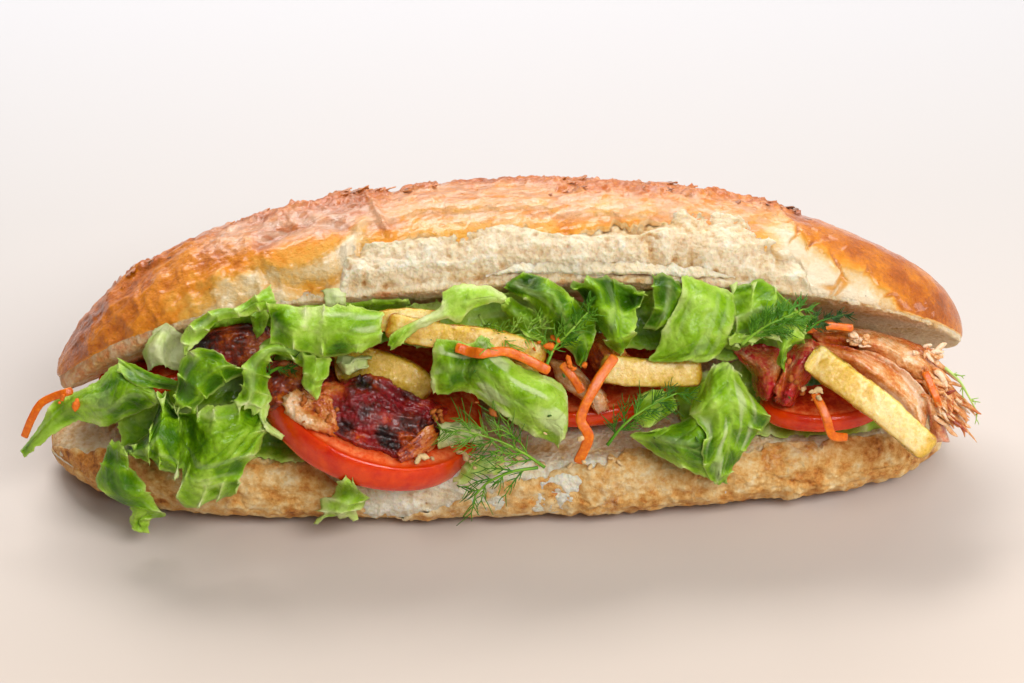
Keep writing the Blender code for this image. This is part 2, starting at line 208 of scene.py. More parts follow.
class Finish:
    # a small helper that adds and joins the nodes of one material

    def __init__(self, name):
        self.material = bpy.data.materials.new(name)
        self.material.use_nodes = True
        self.tree = self.material.node_tree
        self.shader = self.tree.nodes["Principled BSDF"]
        self.place = self.add("ShaderNodeTexCoord").outputs["Object"]

    def add(self, kind, **settings):
        # a new node of one kind
        node = self.tree.nodes.new(kind)
        for key, value in settings.items():
            setattr(node, key, value)
        return node

    def put(self, value, socket):
        # joins another node's output to a socket, or sets the socket's own number
        if isinstance(value, bpy.types.NodeSocket):
            self.tree.links.new(value, socket)
        else:
            socket.default_value = value

    def scaled(self, size, squeeze=(1, 1, 1)):
        # places measured in steps of one size, which is in millimetres
        at = self.add("ShaderNodeMapping")
        at.inputs["Scale"].default_value = [1000.0 / size * s for s in squeeze]
        self.put(self.place, at.inputs["Vector"])
        return at.outputs["Vector"]

    def grain(self, size, detail=4.0, rough=0.55, squeeze=(1, 1, 1)):
        # soft noise from 0 to 1, whose size is in millimetres
        n = self.add("ShaderNodeTexNoise")
        n.inputs["Scale"].default_value = 1.0
        n.inputs["Detail"].default_value = detail
        n.inputs["Roughness"].default_value = rough
        self.put(self.scaled(size, squeeze), n.inputs["Vector"])
        return n.outputs["Fac"]

    def cells(self, size, feature):
        # distances in a pattern of cells, whose size is in millimetres
        n = self.add("ShaderNodeTexVoronoi", feature=feature)
        n.inputs["Scale"].default_value = 1.0
        self.put(self.scaled(size), n.inputs["Vector"])
        return n.outputs["Distance"]

    def kept(self, name):
        # a number kept at every point of the mesh
        return self.add("ShaderNodeAttribute", attribute_name=name).outputs["Fac"]

    def math(self, how, a, b):
        # two values joined by a kind of sum
        n = self.add("ShaderNodeMath", operation=how)
        self.put(a, n.inputs[0])
        self.put(b, n.inputs[1])
        return n.outputs[0]

    def times(self, a, b):
        # a times b
        return self.math("MULTIPLY", a, b)

    def sum(self, first, *others):
        # all the values added up
        for value in others:
            first = self.math("ADD", first, value)
        return first

    def mottle(self, size, detail, rough, reach):
        # grain from minus reach to reach
        return self.spread(self.grain(size, detail, rough), 0.3, 0.7, -reach, reach)

    def spread(self, value, low, high, newLow=0.0, newHigh=1.0):
        # newLow where the value is low, newHigh where it is high, even between them
        n = self.add("ShaderNodeMapRange", clamp=True)
        self.put(value, n.inputs["Value"])
        for key, number in (("From Min", low), ("From Max", high), ("To Min", newLow),
                            ("To Max", newHigh)):
            n.inputs[key].default_value = number
        return n.outputs["Result"]

    def ramp(self, value, stops):
        # colours that blend into each other as the value grows
        n = self.add("ShaderNodeValToRGB")
        bar = n.color_ramp
        while len(bar.elements) < len(stops):
            bar.elements.new(0.5)
        for element, (at, shade) in zip(bar.elements, stops):
            element.position = at
            element.color = colour(*shade)
        self.put(value, n.inputs["Fac"])
        return n.outputs["Color"]

    def blend(self, share, a, b):
        # colour a, with a share of colour b
        n = self.add("ShaderNodeMix", data_type="RGBA")
        self.put(share, n.inputs[0])
        self.put(a, n.inputs[6])
        self.put(b, n.inputs[7])
        return n.outputs[2]

    def bump(self, height, depth):
        # depth in millimetres
        n = self.add("ShaderNodeBump")
        n.inputs["Distance"].default_value = depth * millimetre
        self.put(height, n.inputs["Height"])
        return n.outputs["Normal"]

    def wear(self, **sockets):
        # sets the shader's sockets by name
        for key, value in sockets.items():
            self.put(value, self.shader.inputs[key.replace("_", " ")])
        return self.material


# The filling lies in the mouth of the roll. A place there is three numbers in millimetres: along
# the roll, up the face of the filling, and out of the mouth.


def faceToWorld(points):
    # a place in the mouth turned into x, y and z
    along, up, out = points[..., 0:1], points[..., 1:2], points[..., 2:3]
    return along * np.array([1.0, 0.0, 0.0]) + up * faceUp + out * faceOut


def worldToFace(points):
    # x, y and z turned into a place in the mouth
    return np.stack([points[..., 0], points @ faceUp, points @ faceOut], -1)


def settleOnNode(points, node):
    # moves a shape so that the middle of its box is the middle of the node's box
    low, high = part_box(node)
    world = faceToWorld(points).reshape(-1, 3)
    target = 0.5 * (np.array(low) + np.array(high)) / millimetre
    return points + (worldToFace(target) - worldToFace(0.5 * (world.min(0) + world.max(0))))


# millimetres between the points of a mesh
meshCells = {"leaf": 0.48, "meat": 0.42, "chip": 0.42, "carrot": 0.35}

# the ground map: its cell, how far it reaches along and up, and the gap kept above it
mapSpec = {"cell": 0.7, "along": (-175.0, 175.0), "up": (-45.0, 115.0), "gap": 0.3}
groundMap = np.full((int((mapSpec["along"][1] - mapSpec["along"][0]) / mapSpec["cell"]),
                     int((mapSpec["up"][1] - mapSpec["up"][0]) / mapSpec["cell"])), -80.0)


def mapCells(points):
    # numbers of the ground map's cells that the points stand over
    i = ((points[..., 0] - mapSpec["along"][0]) / mapSpec["cell"]).astype(int)
    j = ((points[..., 1] - mapSpec["up"][0]) / mapSpec["cell"]).astype(int)
    return i.clip(1, groundMap.shape[0] - 2), j.clip(1, groundMap.shape[1] - 2)


def raiseGround(points):
    # the ground map holds how far out the pieces laid so far reach
    i, j = mapCells(points)
    for di in (-1, 0, 1):
        for dj in (-1, 0, 1):
            np.maximum.at(groundMap, (i + di, j + dj), points[..., 2])


def shortfall(points, gap):
    # how far the ground map, and a gap above it, stand over the points
    i, j = mapCells(points)
    return groundMap[i, j] + gap - points[..., 2]


def softened(grid, rounds):
    # each value becomes the mean of its neighbours, several times over
    for _ in range(rounds):
        wide = np.pad(grid, 1, mode="edge")
        grid = 0.25 * (wide[:-2, 1:-1] + wide[2:, 1:-1] + wide[1:-1, :-2] + wide[1:-1, 2:])
    return grid


def liftClear(points, most=9.0):
    # how far each point of a sheet has to rise to lie on what is behind it, eased around
    lift = np.clip(shortfall(points, mapSpec["gap"]), 0.0, most)
    eased = lift
    for _ in range(4):
        eased = np.maximum(lift, softened(eased, 3))
    return eased


def evened(values):
    # each value becomes the mean of the nine around it
    return np.convolve(np.pad(values, 4, mode="edge"), np.ones(9) / 9.0, mode="valid")


def splineWeights(knots, count):
    # weights of a smooth curve through evenly numbered knots (Catmull-Rom)
    t = np.linspace(0.0, knots - 1.0, count)
    k = np.minimum(t.astype(int), knots - 2)
    f = t - k
    basis = 0.5 * np.stack([2 * f ** 2 - f - f ** 3, 2 - 5 * f ** 2 + 3 * f ** 3,
                            f + 4 * f ** 2 - 3 * f ** 3, f ** 3 - f ** 2], 1)
    wide = np.zeros((count, knots + 2))
    for n in range(4):
        wide[np.arange(count), k + n] += basis[:, n]
    weights = wide[:, 1:-1].copy()
    weights[:, 0] += 2.0 * wide[:, 0]
    weights[:, 1] -= wide[:, 0]
    weights[:, -1] += 2.0 * wide[:, -1]
    weights[:, -2] -= wide[:, -1]
    return weights


def smoothNet(rows, cell):
    # a smooth surface through rows of points, with points about one cell apart
    net = np.array(rows, dtype=float)
    rough = np.einsum("ua,vb,abc->uvc", splineWeights(net.shape[0], 40),
                      splineWeights(net.shape[1], 24), net)
    longest = np.linalg.norm(np.diff(rough, axis=0), axis=-1).sum(0).max()
    widest = np.linalg.norm(np.diff(rough, axis=1), axis=-1).sum(1).max()
    countU, countV = (int(np.clip(size / cell, 10, 260)) for size in (longest, widest))
    return np.einsum("ua,vb,abc->uvc", splineWeights(net.shape[0], countU),
                     splineWeights(net.shape[1], countV), net)


def runLength(points, axis):
    # distance run along one direction of a grid
    step = np.linalg.norm(np.diff(points, axis=axis), axis=-1)
    zero = np.zeros_like(np.take(step, [0], axis=axis))
    return np.concatenate([zero, np.cumsum(step, axis=axis)], axis)


def closedSheet(countU, countV):
    # faces of a grid, of a second one behind it whose corner numbers follow on, and of the
    # rim that joins their borders
    front = gridFaces(countU, countV)
    number = np.arange(countU * countV).reshape(countU, countV)
    ring = np.concatenate([number[:-1, 0], number[-1, :-1], number[:0:-1, -1], number[0, :0:-1]])
    ahead = np.roll(ring, -1)
    rim = np.stack([ahead, ring, ring + countU * countV, ahead + countU * countV], 1)
    return np.concatenate([front, front[:, ::-1] + countU * countV, rim])


def sheetPlaces(points, seed, apart):
    # for every point of a sheet: how far it is from the sides and the ends, the ways out to
    # them, and where noise is read: on the sheet, along its sides and along its ends
    at = SimpleNamespace(along=runLength(points, 0))
    across = runLength(points, 1)
    at.length, at.width = at.along[-1:, :], across[:, -1:]
    at.toSide = np.minimum(across, at.width - across)
    at.toEnd = np.minimum(at.along, at.length - at.along)
    at.border = np.minimum(at.toSide, at.toEnd)
    at.flat = np.stack([at.along.mean(1, keepdims=True) + 0 * across, across - 0.5 * at.width,
                        0 * across + apart * seed], -1)
    sideSign = np.sign(across - 0.5 * at.width + 1e-6)
    endSign = np.sign(at.along - 0.5 * at.length + 1e-6)
    at.ahead, at.aside = unit(np.gradient(points, axis=0)), unit(np.gradient(points, axis=1))
    at.outAhead, at.outAside = at.ahead * endSign[..., None], at.aside * sideSign[..., None]
    at.onSide = np.stack([at.flat[..., 0], 40.0 * sideSign, at.flat[..., 2]], -1)
    at.onEnd = np.stack([60.0 * endSign, at.flat[..., 1], at.flat[..., 2]], -1)
    return at


def standsFor(name):
    # the part's piece that a piece takes the place of, if there is one
    return [] if name in extraPieces else [name]


def makeSheet(name, points, thickness, material, values, nodes):
    # a closed sheet: a front and a back half a thickness off, thinner along its border
    countU, countV = points.shape[:2]
    raiseGround(points)
    world = faceToWorld(points)
    n = surfaceNormals(world)
    backwards = (n @ faceOut).mean() < 0.0
    n = -n if backwards else n
    i, j = np.meshgrid(np.arange(countU), np.arange(countV), indexing="ij")
    inner = np.minimum(np.minimum(i, countU - 1 - i), np.minimum(j, countV - 1 - j))
    half = 0.5 * thickness * np.clip(0.25 + 0.4 * inner, 0.0, 1.0)
    both = np.stack([world + n * half[..., None], world - n * half[..., None]])
    doubled = {key: np.tile(np.asarray(v).ravel(), 2) for key, v in values.items()}
    return makePiece(name, both, closedSheet(countU, countV), material, doubled, nodes,
                     inward=backwards)


rollSpec = {
    "halfLength": 140.0,
    "halfWidth": 38.0,
    "lowerHeight": 28.0,
    "domeHeight": 37.0,
    "hinge": (36.0, 28.0),       # across and up
    "openAngle": 44.5,           # degrees between the two cut faces
    "crustThickness": 0.7,
    # along the roll, then height above the lid's cut face: top of the bare crumb, and the line
    # above which the skin is glossy
    "tear": [(-141, -1), (-54, -1), (-51.5, 6), (-50, 10), (-46, 10.5), (-42, 12.3), (-36, 14.2),
             (-30, 15.1), (-22, 15.1), (-14, 12.9), (-6, 13.6), (5, 13.8), (12, 10.7), (19, 11.5), (27, 15.7),
             (31, 18), (38, 19.6), (46, 18.5), (55, 20.4), (63, 19.6), (71, 17.4), (73, 15.2),
             (79, 13.6), (86, 9.7), (87.5, 6), (89, -1), (141, -1)],
    "glaze": [(-141, -8), (-112, 0), (-106, 3), (-98, 6.8), (-91, 8.6), (-85, 9.6), (-79, 11),
              (-74, 10), (-69, 8.5), (-62, 9), (-56, 13), (-50, 18), (-44, 20), (-36, 22), (-29, 24.6),
              (-19, 23.6), (-3, 23.5), (10, 23), (16, 19.4), (25, 20.8), (38, 20.3), (50, 21),
              (63, 21), (73, 21), (82, 26), (86, 20), (91, 15), (98, 10), (107, 9.5), (110, 5),
              (116, 2), (124, -6), (141, -8)],
    # where the top skin broke into crumbs: along the roll, height above the cut face, half sizes
    "broken": [(-44, 33.5, 9, 2.6), (-27, 34.5, 6, 2.0), (9, 35.6, 3.4, 1.2), (18, 35.0, 4.5, 2.2),
               (19, 31.0, 6, 2.2), (43, 32.5, 7, 3.0), (50, 34.5, 8, 1.8), (78, 29.5, 4.5, 3.0),
               (86, 29.0, 4, 2.0), (-78, 30.0, 7, 1.8), (-112, 21.0, 8, 1.6)],
    # share of the lower half's height up to which it has its skin
    "lowerSkin": [(-145, 0.93), (-58, 0.93), (-50, 0.72), (-42, 0.36), (-33, 0.24), (-21, 0.38),
                  (-11, 0.52), (-5, 0.6), (0, 0.67), (8, 0.73), (17, 0.79), (28, 0.86), (42, 0.93),
                  (140, 0.93)],
}


def taper(s, power, root):
    # (1 - |s| to the power) to the root: full in the middle, nothing at the ends
    return np.clip(1.0 - np.abs(s) ** power, 0.0, 1.0) ** root


def signedPower(value, power):
    # the power of a value's size, with the value's sign
    return np.sign(value) * np.abs(value) ** power


def lowerShape(s, turn):
    # a squared-off oval with a flat base, swept along the roll; its cut face sinks in the middle
    spec = rollSpec
    closing = taper(s, 60.0, 0.5)
    width = spec["halfWidth"] * np.where(s < 0.0, taper(s, 3.2, 0.5), taper(s, 4.4, 0.5))
    height = 3.0 * closing + (spec["lowerHeight"] - 3.0) * taper(s, 4.0, 0.5)
    side, rise = np.cos(turn), np.sin(turn)
    y = width * signedPower(side, 0.8) + 1.5 + 3.0 * s * s
    under = np.maximum(0.5 * height - (0.5 * height + 0.8 * closing) * np.abs(rise) ** 0.7, 0.0)
    over = 0.5 * height + 0.5 * height * np.abs(rise) ** 0.5
    over = over - 0.22 * height * np.maximum(0.0, rise - 0.5)
    beyond = np.clip(2.0 * np.abs(s) - 1.0, 0.0, 1.0)
    lift = np.where(s < 0.0, 6.0, 3.0) * beyond ** 3.5 + 0.7 * np.minimum(1.0, 6.0 * beyond)
    under = under + 0.7 * smooth(0.0, 1.0, under)
    z = np.where(rise < 0.0, under, over) + lift + 1.5 * (1.0 - closing)
    x = s * (spec["halfLength"] + 0.5) - 4.0
    return np.stack([x + 0.0 * y, y, z], -1)


def lidAxis(s):
    # middle of the lid's cut face, and its angle: it droops towards both ends, the left one more
    spec = rollSpec
    start = math.radians(spec["openAngle"])
    y = spec["hinge"][0] - 36.0 * math.cos(start) - 6.0 * s * s
    z = spec["hinge"][1] + 36.0 * math.sin(start)
    a = np.abs(s)
    left = s < 0.0
    z = z - np.where(left, 4.4 * a + 14.3 * a ** 7, 15.2 * a ** 2.5)
    angle = np.radians(spec["openAngle"] + np.where(left, -7.7, 0.0) * s * s)
    return y, z, angle


def lidDome(s):
    # how high the lid's dome is above its cut face
    full = np.where(s < 0.0, taper(s, 2.2, 0.63), taper(s, 2.0, 0.45))
    return 3.0 * taper(s, 60.0, 0.5) + (rollSpec["domeHeight"] - 3.0) * full


def lidShape(s, turn):
    # half an oval dome on a nearly flat cut face, turned up about the hinge and swept along
    spec = rollSpec
    closing = taper(s, 60.0, 0.5)
    width = spec["halfWidth"] * taper(s, 3.4, 0.5)
    dome = lidDome(s)
    y0, z0, angle = lidAxis(s)
    side, rise = np.cos(turn), np.sin(turn)
    p = width * signedPower(side, 0.85)
    belly = 2.0 + 5.0 * smooth(-0.60, -0.86, s)
    under = (2.5 * np.maximum(0.0, np.abs(rise) - 0.6) - belly * np.abs(rise) ** 0.5) * closing
    q = np.where(rise < 0.0, under, dome * np.abs(rise) ** 0.8)
    y = y0 - p * np.cos(angle) + q * np.sin(angle)
    z = z0 + p * np.sin(angle) + q * np.cos(angle)
    return np.stack([s * spec["halfLength"] + 0.0 * y, y, z], -1)


def neckShape(s, turn):
    # an oval ridge that joins the backs of both halves and shrinks towards its ends
    spec = rollSpec
    shrink = taper(s / 0.76, 4.0, 0.5)
    y0, z0, angle = lidAxis(s)
    lidWidth = spec["halfWidth"] * taper(s, 3.4, 0.5) - 9.0
    backY = y0 + lidWidth * np.cos(angle)
    backZ = z0 - lidWidth * np.sin(angle)
    lowY = spec["halfWidth"] * taper(s, 3.2, 0.5) - 8.0
    lowZ = 0.7 * spec["lowerHeight"]
    y = 0.5 * (backY + lowY) + 8.0 * np.cos(turn) * shrink
    z = 0.5 * (backZ + lowZ) + 10.0 * np.sin(turn) * shrink
    return np.stack([s * spec["halfLength"] + 0.0 * y, y, z], -1)


def evenTurns(shape, low, high, count, favour=None):
    # turns between low and high whose points lie evenly along the middle section
    turn = np.linspace(low, high, 2000)
    section = shape(np.zeros(1)[:, None], turn[None, :])[0]
    step = np.linalg.norm(np.diff(section, axis=0), axis=1)
    if favour is not None:
        step = step * favour(0.5 * (turn[1:] + turn[:-1]))
    way = np.concatenate([[0.0], np.cumsum(step)])
    return np.interp(np.linspace(0.0, way[-1], count), way, turn)


def stations(count, reach=1.0):
    # from one end to the other, closer together near the ends
    t = np.linspace(-1.0, 1.0, count)
    return reach * (0.72 * t + 0.28 * np.sin(0.5 * math.pi * t))


def skinTurns(turns, first, count):
    # turns from the first one of each section to the last, evenly spaced along the shape
    number = np.arange(len(turns))
    start = np.interp(first, turns, number)[:, None]
    share = np.linspace(0.0, 1.0, count)[None, :]
    return np.interp(start + (number[-1] - start) * share, number, turns)


def sunkEdge(d, way):
    # a skin's relief; its edge beside the hinge sinks into the crumb
    sunk = smooth(5.0, 0.5, way[:, -1:] - way)
    return d * (1.0 - sunk) - 0.8 * sunk


def onLine(x):
    # places along the roll where noise is read for an edge
    return np.stack([x, 0 * x, 0 * x], -1)


def rollCurve(key, x):
    # straight lines between the spots of one of the roll's tables
    spots = np.array(rollSpec[key], dtype=float)
    return np.interp(x, spots[:, 0], spots[:, 1])


def domeTurn(high, s):
    # the turn at which the dome reaches a height above the cut face
    return np.arcsin(np.clip(high / lidDome(s), 0.0, 0.97) ** 1.25)


def tearHeight(x):
    # height above the cut face up to which the crumb is bare, with a ragged edge
    level = rollCurve("tear", x)
    p = onLine(x)
    torn = smooth(0.0, 5.0, level)
    return level + torn * (2.4 * noise(p, 9.0, 5) + 1.5 * noise(p, 3.1, 6) + 0.9 * noise(p, 1.2, 7))


def lidHeight(points):
    # height above the lid's cut face
    y0, z0, angle = lidAxis(points[..., 0] / rollSpec["halfLength"])
    return (points[..., 1] - y0) * np.sin(angle) + (points[..., 2] - z0) * np.cos(angle)


def puffs(points, size, seed, layers=3):
    # the height of noise without its sign: round lumps parted by sharp creases, from 0 to 1
    total, strength, whole = 0.0, 1.0, 0.0
    for n in range(layers):
        total = total + strength * np.abs(noise(points, size / 2.0 ** n, seed + 13 * n))
        whole += strength
        strength *= 0.62
    return total / whole


def crumbDepth(points, seed):
    # torn crumb: round cottony lumps, pulled threads and pits
    p = points + 1.3 * sway(points, 4.0, seed + 6, seed + 7, seed + 8)
    lumps = layered(p, 13.0, seed, 2)
    tufts = puffs(p, 6.4, seed + 3, 4) - 0.33
    pulled = creased(p * (1.0, 0.45, 0.45), 2.4, seed + 4, 2) - 0.45
    first, _ = cellDistances(p, 3.0, seed + 5)
    pits = smooth(0.42, 0.12, first) * smooth(-0.1, 0.5, noise(points, 7.0, seed + 9))
    fluff = puffs(p, 1.9, seed + 11, 2) - 0.33
    return 1.4 * lumps + 2.5 * tufts + 0.8 * pulled + 0.9 * fluff - 1.0 * pits, pits


def sheetEdge(distance, thickness):
    # thickness of a skin that rounds off towards its edge
    t = np.clip(distance / 1.3, 0.0, 1.0)
    return thickness * np.sqrt(np.clip(1.0 - (1.0 - t) ** 2, 0.0, 1.0)) - 0.35 * (1.0 - t)


def glazeEdge(points):
    # height above the cut face where the glossy skin ends: a scalloped, broken line
    x = points[..., 0]
    ruled = onLine(x) + (0.0, 3.0, 0.0)
    scallops = 2.2 * np.abs(noise(ruled, 11.0, 201)) - 0.8 + 1.8 * layered(points, 7.0, 203, 3)
    return rollCurve("glaze", x) + scallops


def foldLine(x, high, wide):
    # a bent fold beside the bare crumb: 1 along it, fading over its width
    return np.exp(-((x + 50.5 - 0.55 * np.abs(high - 13.0)) / wide) ** 2)


def lidRelief(points):
    # the lid's skin: dents, slanting wrinkles and folds at the left, faint streaks along the
    # middle, blisters that broke on top, and a step where the glossy skin ends
    x = points[..., 0]
    high = lidHeight(points)
    left = smooth(-30.0, -60.0, x)
    middle = smooth(-45.0, -30.0, x) * smooth(95.0, 80.0, x)
    right = smooth(80.0, 95.0, x)
    slanted = np.stack([x * 0.86 + high * 0.5, points[..., 1] * 0.6, high * 0.86 - x * 0.5], -1)
    bent = slanted + 3.0 * sway(points, 15.0, 31, 32, 33)
    dents = creased(points * (0.8, 1.0, 1.0), 19.0, 41, 2) - 0.45
    folds = creased(bent * (0.45, 0.8, 1.0), 12.0, 42, 2) - 0.45
    fine = creased(bent * (0.35, 0.8, 1.0), 4.4, 43, 3) - 0.45
    ripples = creased(bent * (0.5, 0.8, 1.0), 2.3, 44, 2) - 0.45
    streaks = layered(points * (0.3, 1.0, 1.0), 7.0, 47, 3)
    upright = np.stack([x + 0.35 * high + 2.0 * noise(points, 9.0, 35), high * 0.3, 0 * x], -1)
    pleats = creased(upright, 6.5, 45, 2) - 0.45
    swells = creased(points, 24.0, 57, 2) - 0.4
    d = 0.8 * layered(points, 38.0, 51, 2) + 0.16 * layered(points, 2.6, 53, 3)
    d = d + left * (3.2 * dents + 2.6 * folds + 1.5 * fine + 0.6 * ripples) * smooth(-9.0, 5.0, high)
    d = d + left * 1.5 * pleats * smooth(24.0, 12.0, high) * smooth(-6.0, 2.0, high)
    d = d + middle * (0.8 * streaks + 1.4 * swells + 0.9 * fine + 0.35 * ripples)
    d = d + right * (0.7 * folds + 0.5 * fine) - 1.2 * smooth(14.0, 28.0, high)
    # the round bump beside the bare crumb, with a shallow trough around it
    far = ((x + 62.0) / 12.5) ** 2 + ((high - 13.5) / 8.0) ** 2
    bump = np.exp(-far ** 2)
    d = d * (1.0 - 0.75 * bump) + 2.2 * bump - 1.3 * np.exp(-((far - 1.5) / 0.5) ** 2)
    top = smooth(25.0, 31.0, high) * smooth(-128.0, -118.0, x) * smooth(98.0, 88.0, x)
    rough = top * smooth(0.05, 0.30, noise(points, 14.0, 61))
    ragged = 0.45 * layered(points, 4.0, 67, 3)
    for at, height, wide, tall in rollSpec["broken"]:
        reach = np.hypot((x - at) / wide, (high - height) / tall) + ragged
        rough = np.maximum(rough, smooth(1.05, 0.85, reach))
    d = d + rough * (2.2 * creased(points, 4.2, 63, 3) - 0.5 + 0.9 * puffs(points, 2.4, 64, 2))
    over = high - glazeEdge(points)
    d = d + 0.7 * smooth(-0.4, 0.5, over) - 0.5 * smooth(0.5, 7.0, over)
    # a thin ridge where the skin tore upwards, and the pale folds beside the bare crumb
    d = d + 1.3 * np.exp(-((x + 38.0 + 0.42 * (high - 19.0)) / 1.2) ** 2) \
        * smooth(15.0, 18.0, high) * smooth(37.0, 31.0, high)
    d = d + 1.6 * foldLine(x, high, 1.8) * smooth(1.0, 6.0, high) * smooth(26.0, 19.0, high)
    return d, rough


def bareRight(points):
    # pale, cracked skin low on the right shoulder
    x = points[..., 0]
    over = lidHeight(points) - glazeEdge(points)
    return smooth(76.0, 88.0, x) * smooth(121.0, 112.0, x) * smooth(3.5, -0.5, over)


def lidCrustValues(points, relief, flakes, pale, gap, way):
    # bake: 0 where the skin was shaded in the oven, rising past the line where it is glossy and over
    # the top; and a painted highlight: a whitish sheen over the top, standing in for the lamps' gloss
    x, y = points[..., 0], points[..., 1]
    high = lidHeight(points)
    over = high - glazeEdge(points)
    left = smooth(-30.0, -60.0, x)
    bake = 0.08 + 0.30 * smooth(-8.0, -0.5, over) + 0.26 * smooth(-1.5, 2.0, over)
    bake = bake + 0.12 * left * smooth(-2.0, -8.0, over)
    bake = bake + 0.30 * smooth(-52.0, -40.0, x) * smooth(84.0, 74.0, x) * smooth(1.0, -1.0, over)
    bake = bake + 0.10 * smooth(0.0, 9.0, over) - 0.06 * left * smooth(6.0, 0.0, over)
    bake = np.where(y > 40.0, np.maximum(bake, 0.72), bake)
    bake = bake + 0.15 * layered(points, 13.0, 81, 4) + 0.13 * flakes
    bake = bake - 0.07 * np.clip(relief, -2.0, 3.0) * left + 0.02 * smooth(96.0, 125.0, x)
    bake = bake - 0.05 * smooth(84.0, 100.0, x) * smooth(-1.0, 6.0, over)
    bake = bake - 0.16 * smooth(-48.0, -30.0, x) * smooth(92.0, 72.0, x) * smooth(12.0, 22.0, high)
    # painted shade: darker low on the left end, where the lid's lower edge lies in shade by the opening
    bake = bake + 0.34 * smooth(-88.0, -106.0, x) * smooth(4.0, -3.0, over)
    bake = bake - 0.22 * pale + 0.40 * gap
    bake = bake - 0.26 * foldLine(x, high, 2.4) * smooth(28.0, 20.0, high)
    bake = np.where(way < 1.0, np.minimum(bake, 0.22), bake)
    # painted highlight: a whitish sheen in patches over the top of the lid
    painted_sheen = smooth(15.0, 22.0, high + 2.0 * layered(points, 9.0, 83, 3)) * smooth(-98.0, -84.0, x)
    painted_sheen = painted_sheen * smooth(92.0, 74.0, x) * smooth(42.0, 34.0, y) * (1.0 - 0.6 * flakes)
    return {"bake": np.clip(bake, 0.0, 1.0), "flake": flakes, "crack": gap, "painted_sheen": painted_sheen}


def makeLidCrust(material):
    # the lid's dome from the torn edge over the top to the hinge, pushed out by its relief
    spec = rollSpec
    countU, countV = 560, 172
    s = stations(countU)
    turns = evenTurns(lidShape, -0.10, math.pi + 0.50, 1200, lambda t: 1.0 + 1.1 * (t < 1.3))
    edge = tearHeight(s * spec["halfLength"])
    first = np.where(edge > 0.0, domeTurn(edge, s), 0.05 * edge)
    points = lidShape(s[:, None], skinTurns(turns, first, countV))
    n = outwardNormals(points)
    relief, flakes = lidRelief(points)
    way = runLength(points, 1)
    skin = sheetEdge(np.minimum(way, way[:, -1:] - way), spec["crustThickness"])
    narrow = taper(s, 8.0, 0.5)[:, None]
    pale = bareRight(points)
    warped = points + 2.6 * sway(points, 6.0, 71, 72, 74)
    near, far = cellDistances(warped * (1.0, 0.7, 0.7), 10.5, 73)
    cracks = pale * smooth(-0.25, 0.2, noise(points, 12.0, 76))
    gap = smooth(0.10, 0.01, far - near) * cracks
    lifted = smooth(0.34, 0.05, far - near) * cracks
    # the skin's torn edge curls up a little, and the edge beside the hinge sinks into the crumb
    curl = 0.9 * np.exp(-way / 1.4) * smooth(0.5, 3.0, edge)[:, None]
    curl = curl * smooth(0.0, 0.6, noise(points, 7.0, 77)) - 1.0 * np.exp(-way / 1.1)
    d = relief * (0.25 + 0.75 * narrow) + skin - 1.0 * gap + 0.55 * lifted + curl
    points = points + n * sunkEdge(d, way)[..., None]
    values = lidCrustValues(points, relief, flakes, pale, gap, way)
    raiseGround(worldToFace(points))
    return makePiece("lid_crust", points, gridFaces(countU, countV), material, values,
                     nodes=["bread_roll"])


def makeLidCrumb(material):
    # the whole lid a little smaller, torn open below the skin's edge; its cut face is nearly flat
    countU, countV = 460, 200
    s = stations(countU)
    turns = evenTurns(lidShape, -2.95, 1.5, countV, lambda t: 1.0 + 2.2 * (t > -0.5) * (t < 0.7))
    points = lidShape(s[:, None], turns[None, :])
    n = outwardNormals(points)
    relief, _ = lidRelief(points)
    depth, pits = crumbDepth(points, 91)
    high = lidHeight(points)
    front = smooth(-0.6, 0.4, turns)[None, :]
    edge = tearHeight(points[..., 0])
    bare = smooth(1.0, 4.0, edge) * front * smooth(0.5, 2.0, high)
    share = np.clip(high / np.maximum(edge, 4.0), 0.0, 1.3)
    hollow = bare * (0.8 * smooth(0.80, 1.0, share) + 1.4 * smooth(0.45, 0.05, share))
    ledge = bare * 1.8 * smooth(-0.05, 0.15, noise(points * (0.4, 1.0, 1.0), 12.0, 97)) \
        * smooth(0.35, 0.5, share)
    covered = smooth(3.0, 6.0, high - edge) * front
    d = relief * front + (0.3 + 0.7 * bare) * (1.0 - covered) * depth + ledge - hollow
    d = d - 2.2 * covered
    narrow = taper(s, 8.0, 0.5)[:, None]
    points = points + n * (d * (0.2 + 0.8 * narrow))[..., None]
    x = points[..., 0]
    # painted shade and light: the crumb is paler on its lumps and ledge and darker in its hollows and pits
    shade = np.clip(0.50 + 0.24 * depth + 0.08 * ledge - 0.16 * hollow - 0.2 * pits, 0.0, 1.0)
    stain = smooth(0.1, 0.6, layered(points, 13.0, 99, 3)) * smooth(0.6, -1.0, high)
    stain = stain + 0.8 * smooth(0.0, 0.4, layered(points, 7.0, 98, 3)) * smooth(3.4, 0.5, high) \
        * smooth(50.0, 66.0, x) * smooth(90.0, 84.0, x)
    stain = stain + 0.8 * smooth(-92.0, -110.0, x) * smooth(2.5, -0.5, high)
    values = {"pale": shade, "stain": np.clip(stain, 0.0, 1.0), "cut": smooth(1.0, -1.5, high)}
    raiseGround(worldToFace(points))
    return makePiece("lid_crumb", points, gridFaces(countU, countV), material, values)


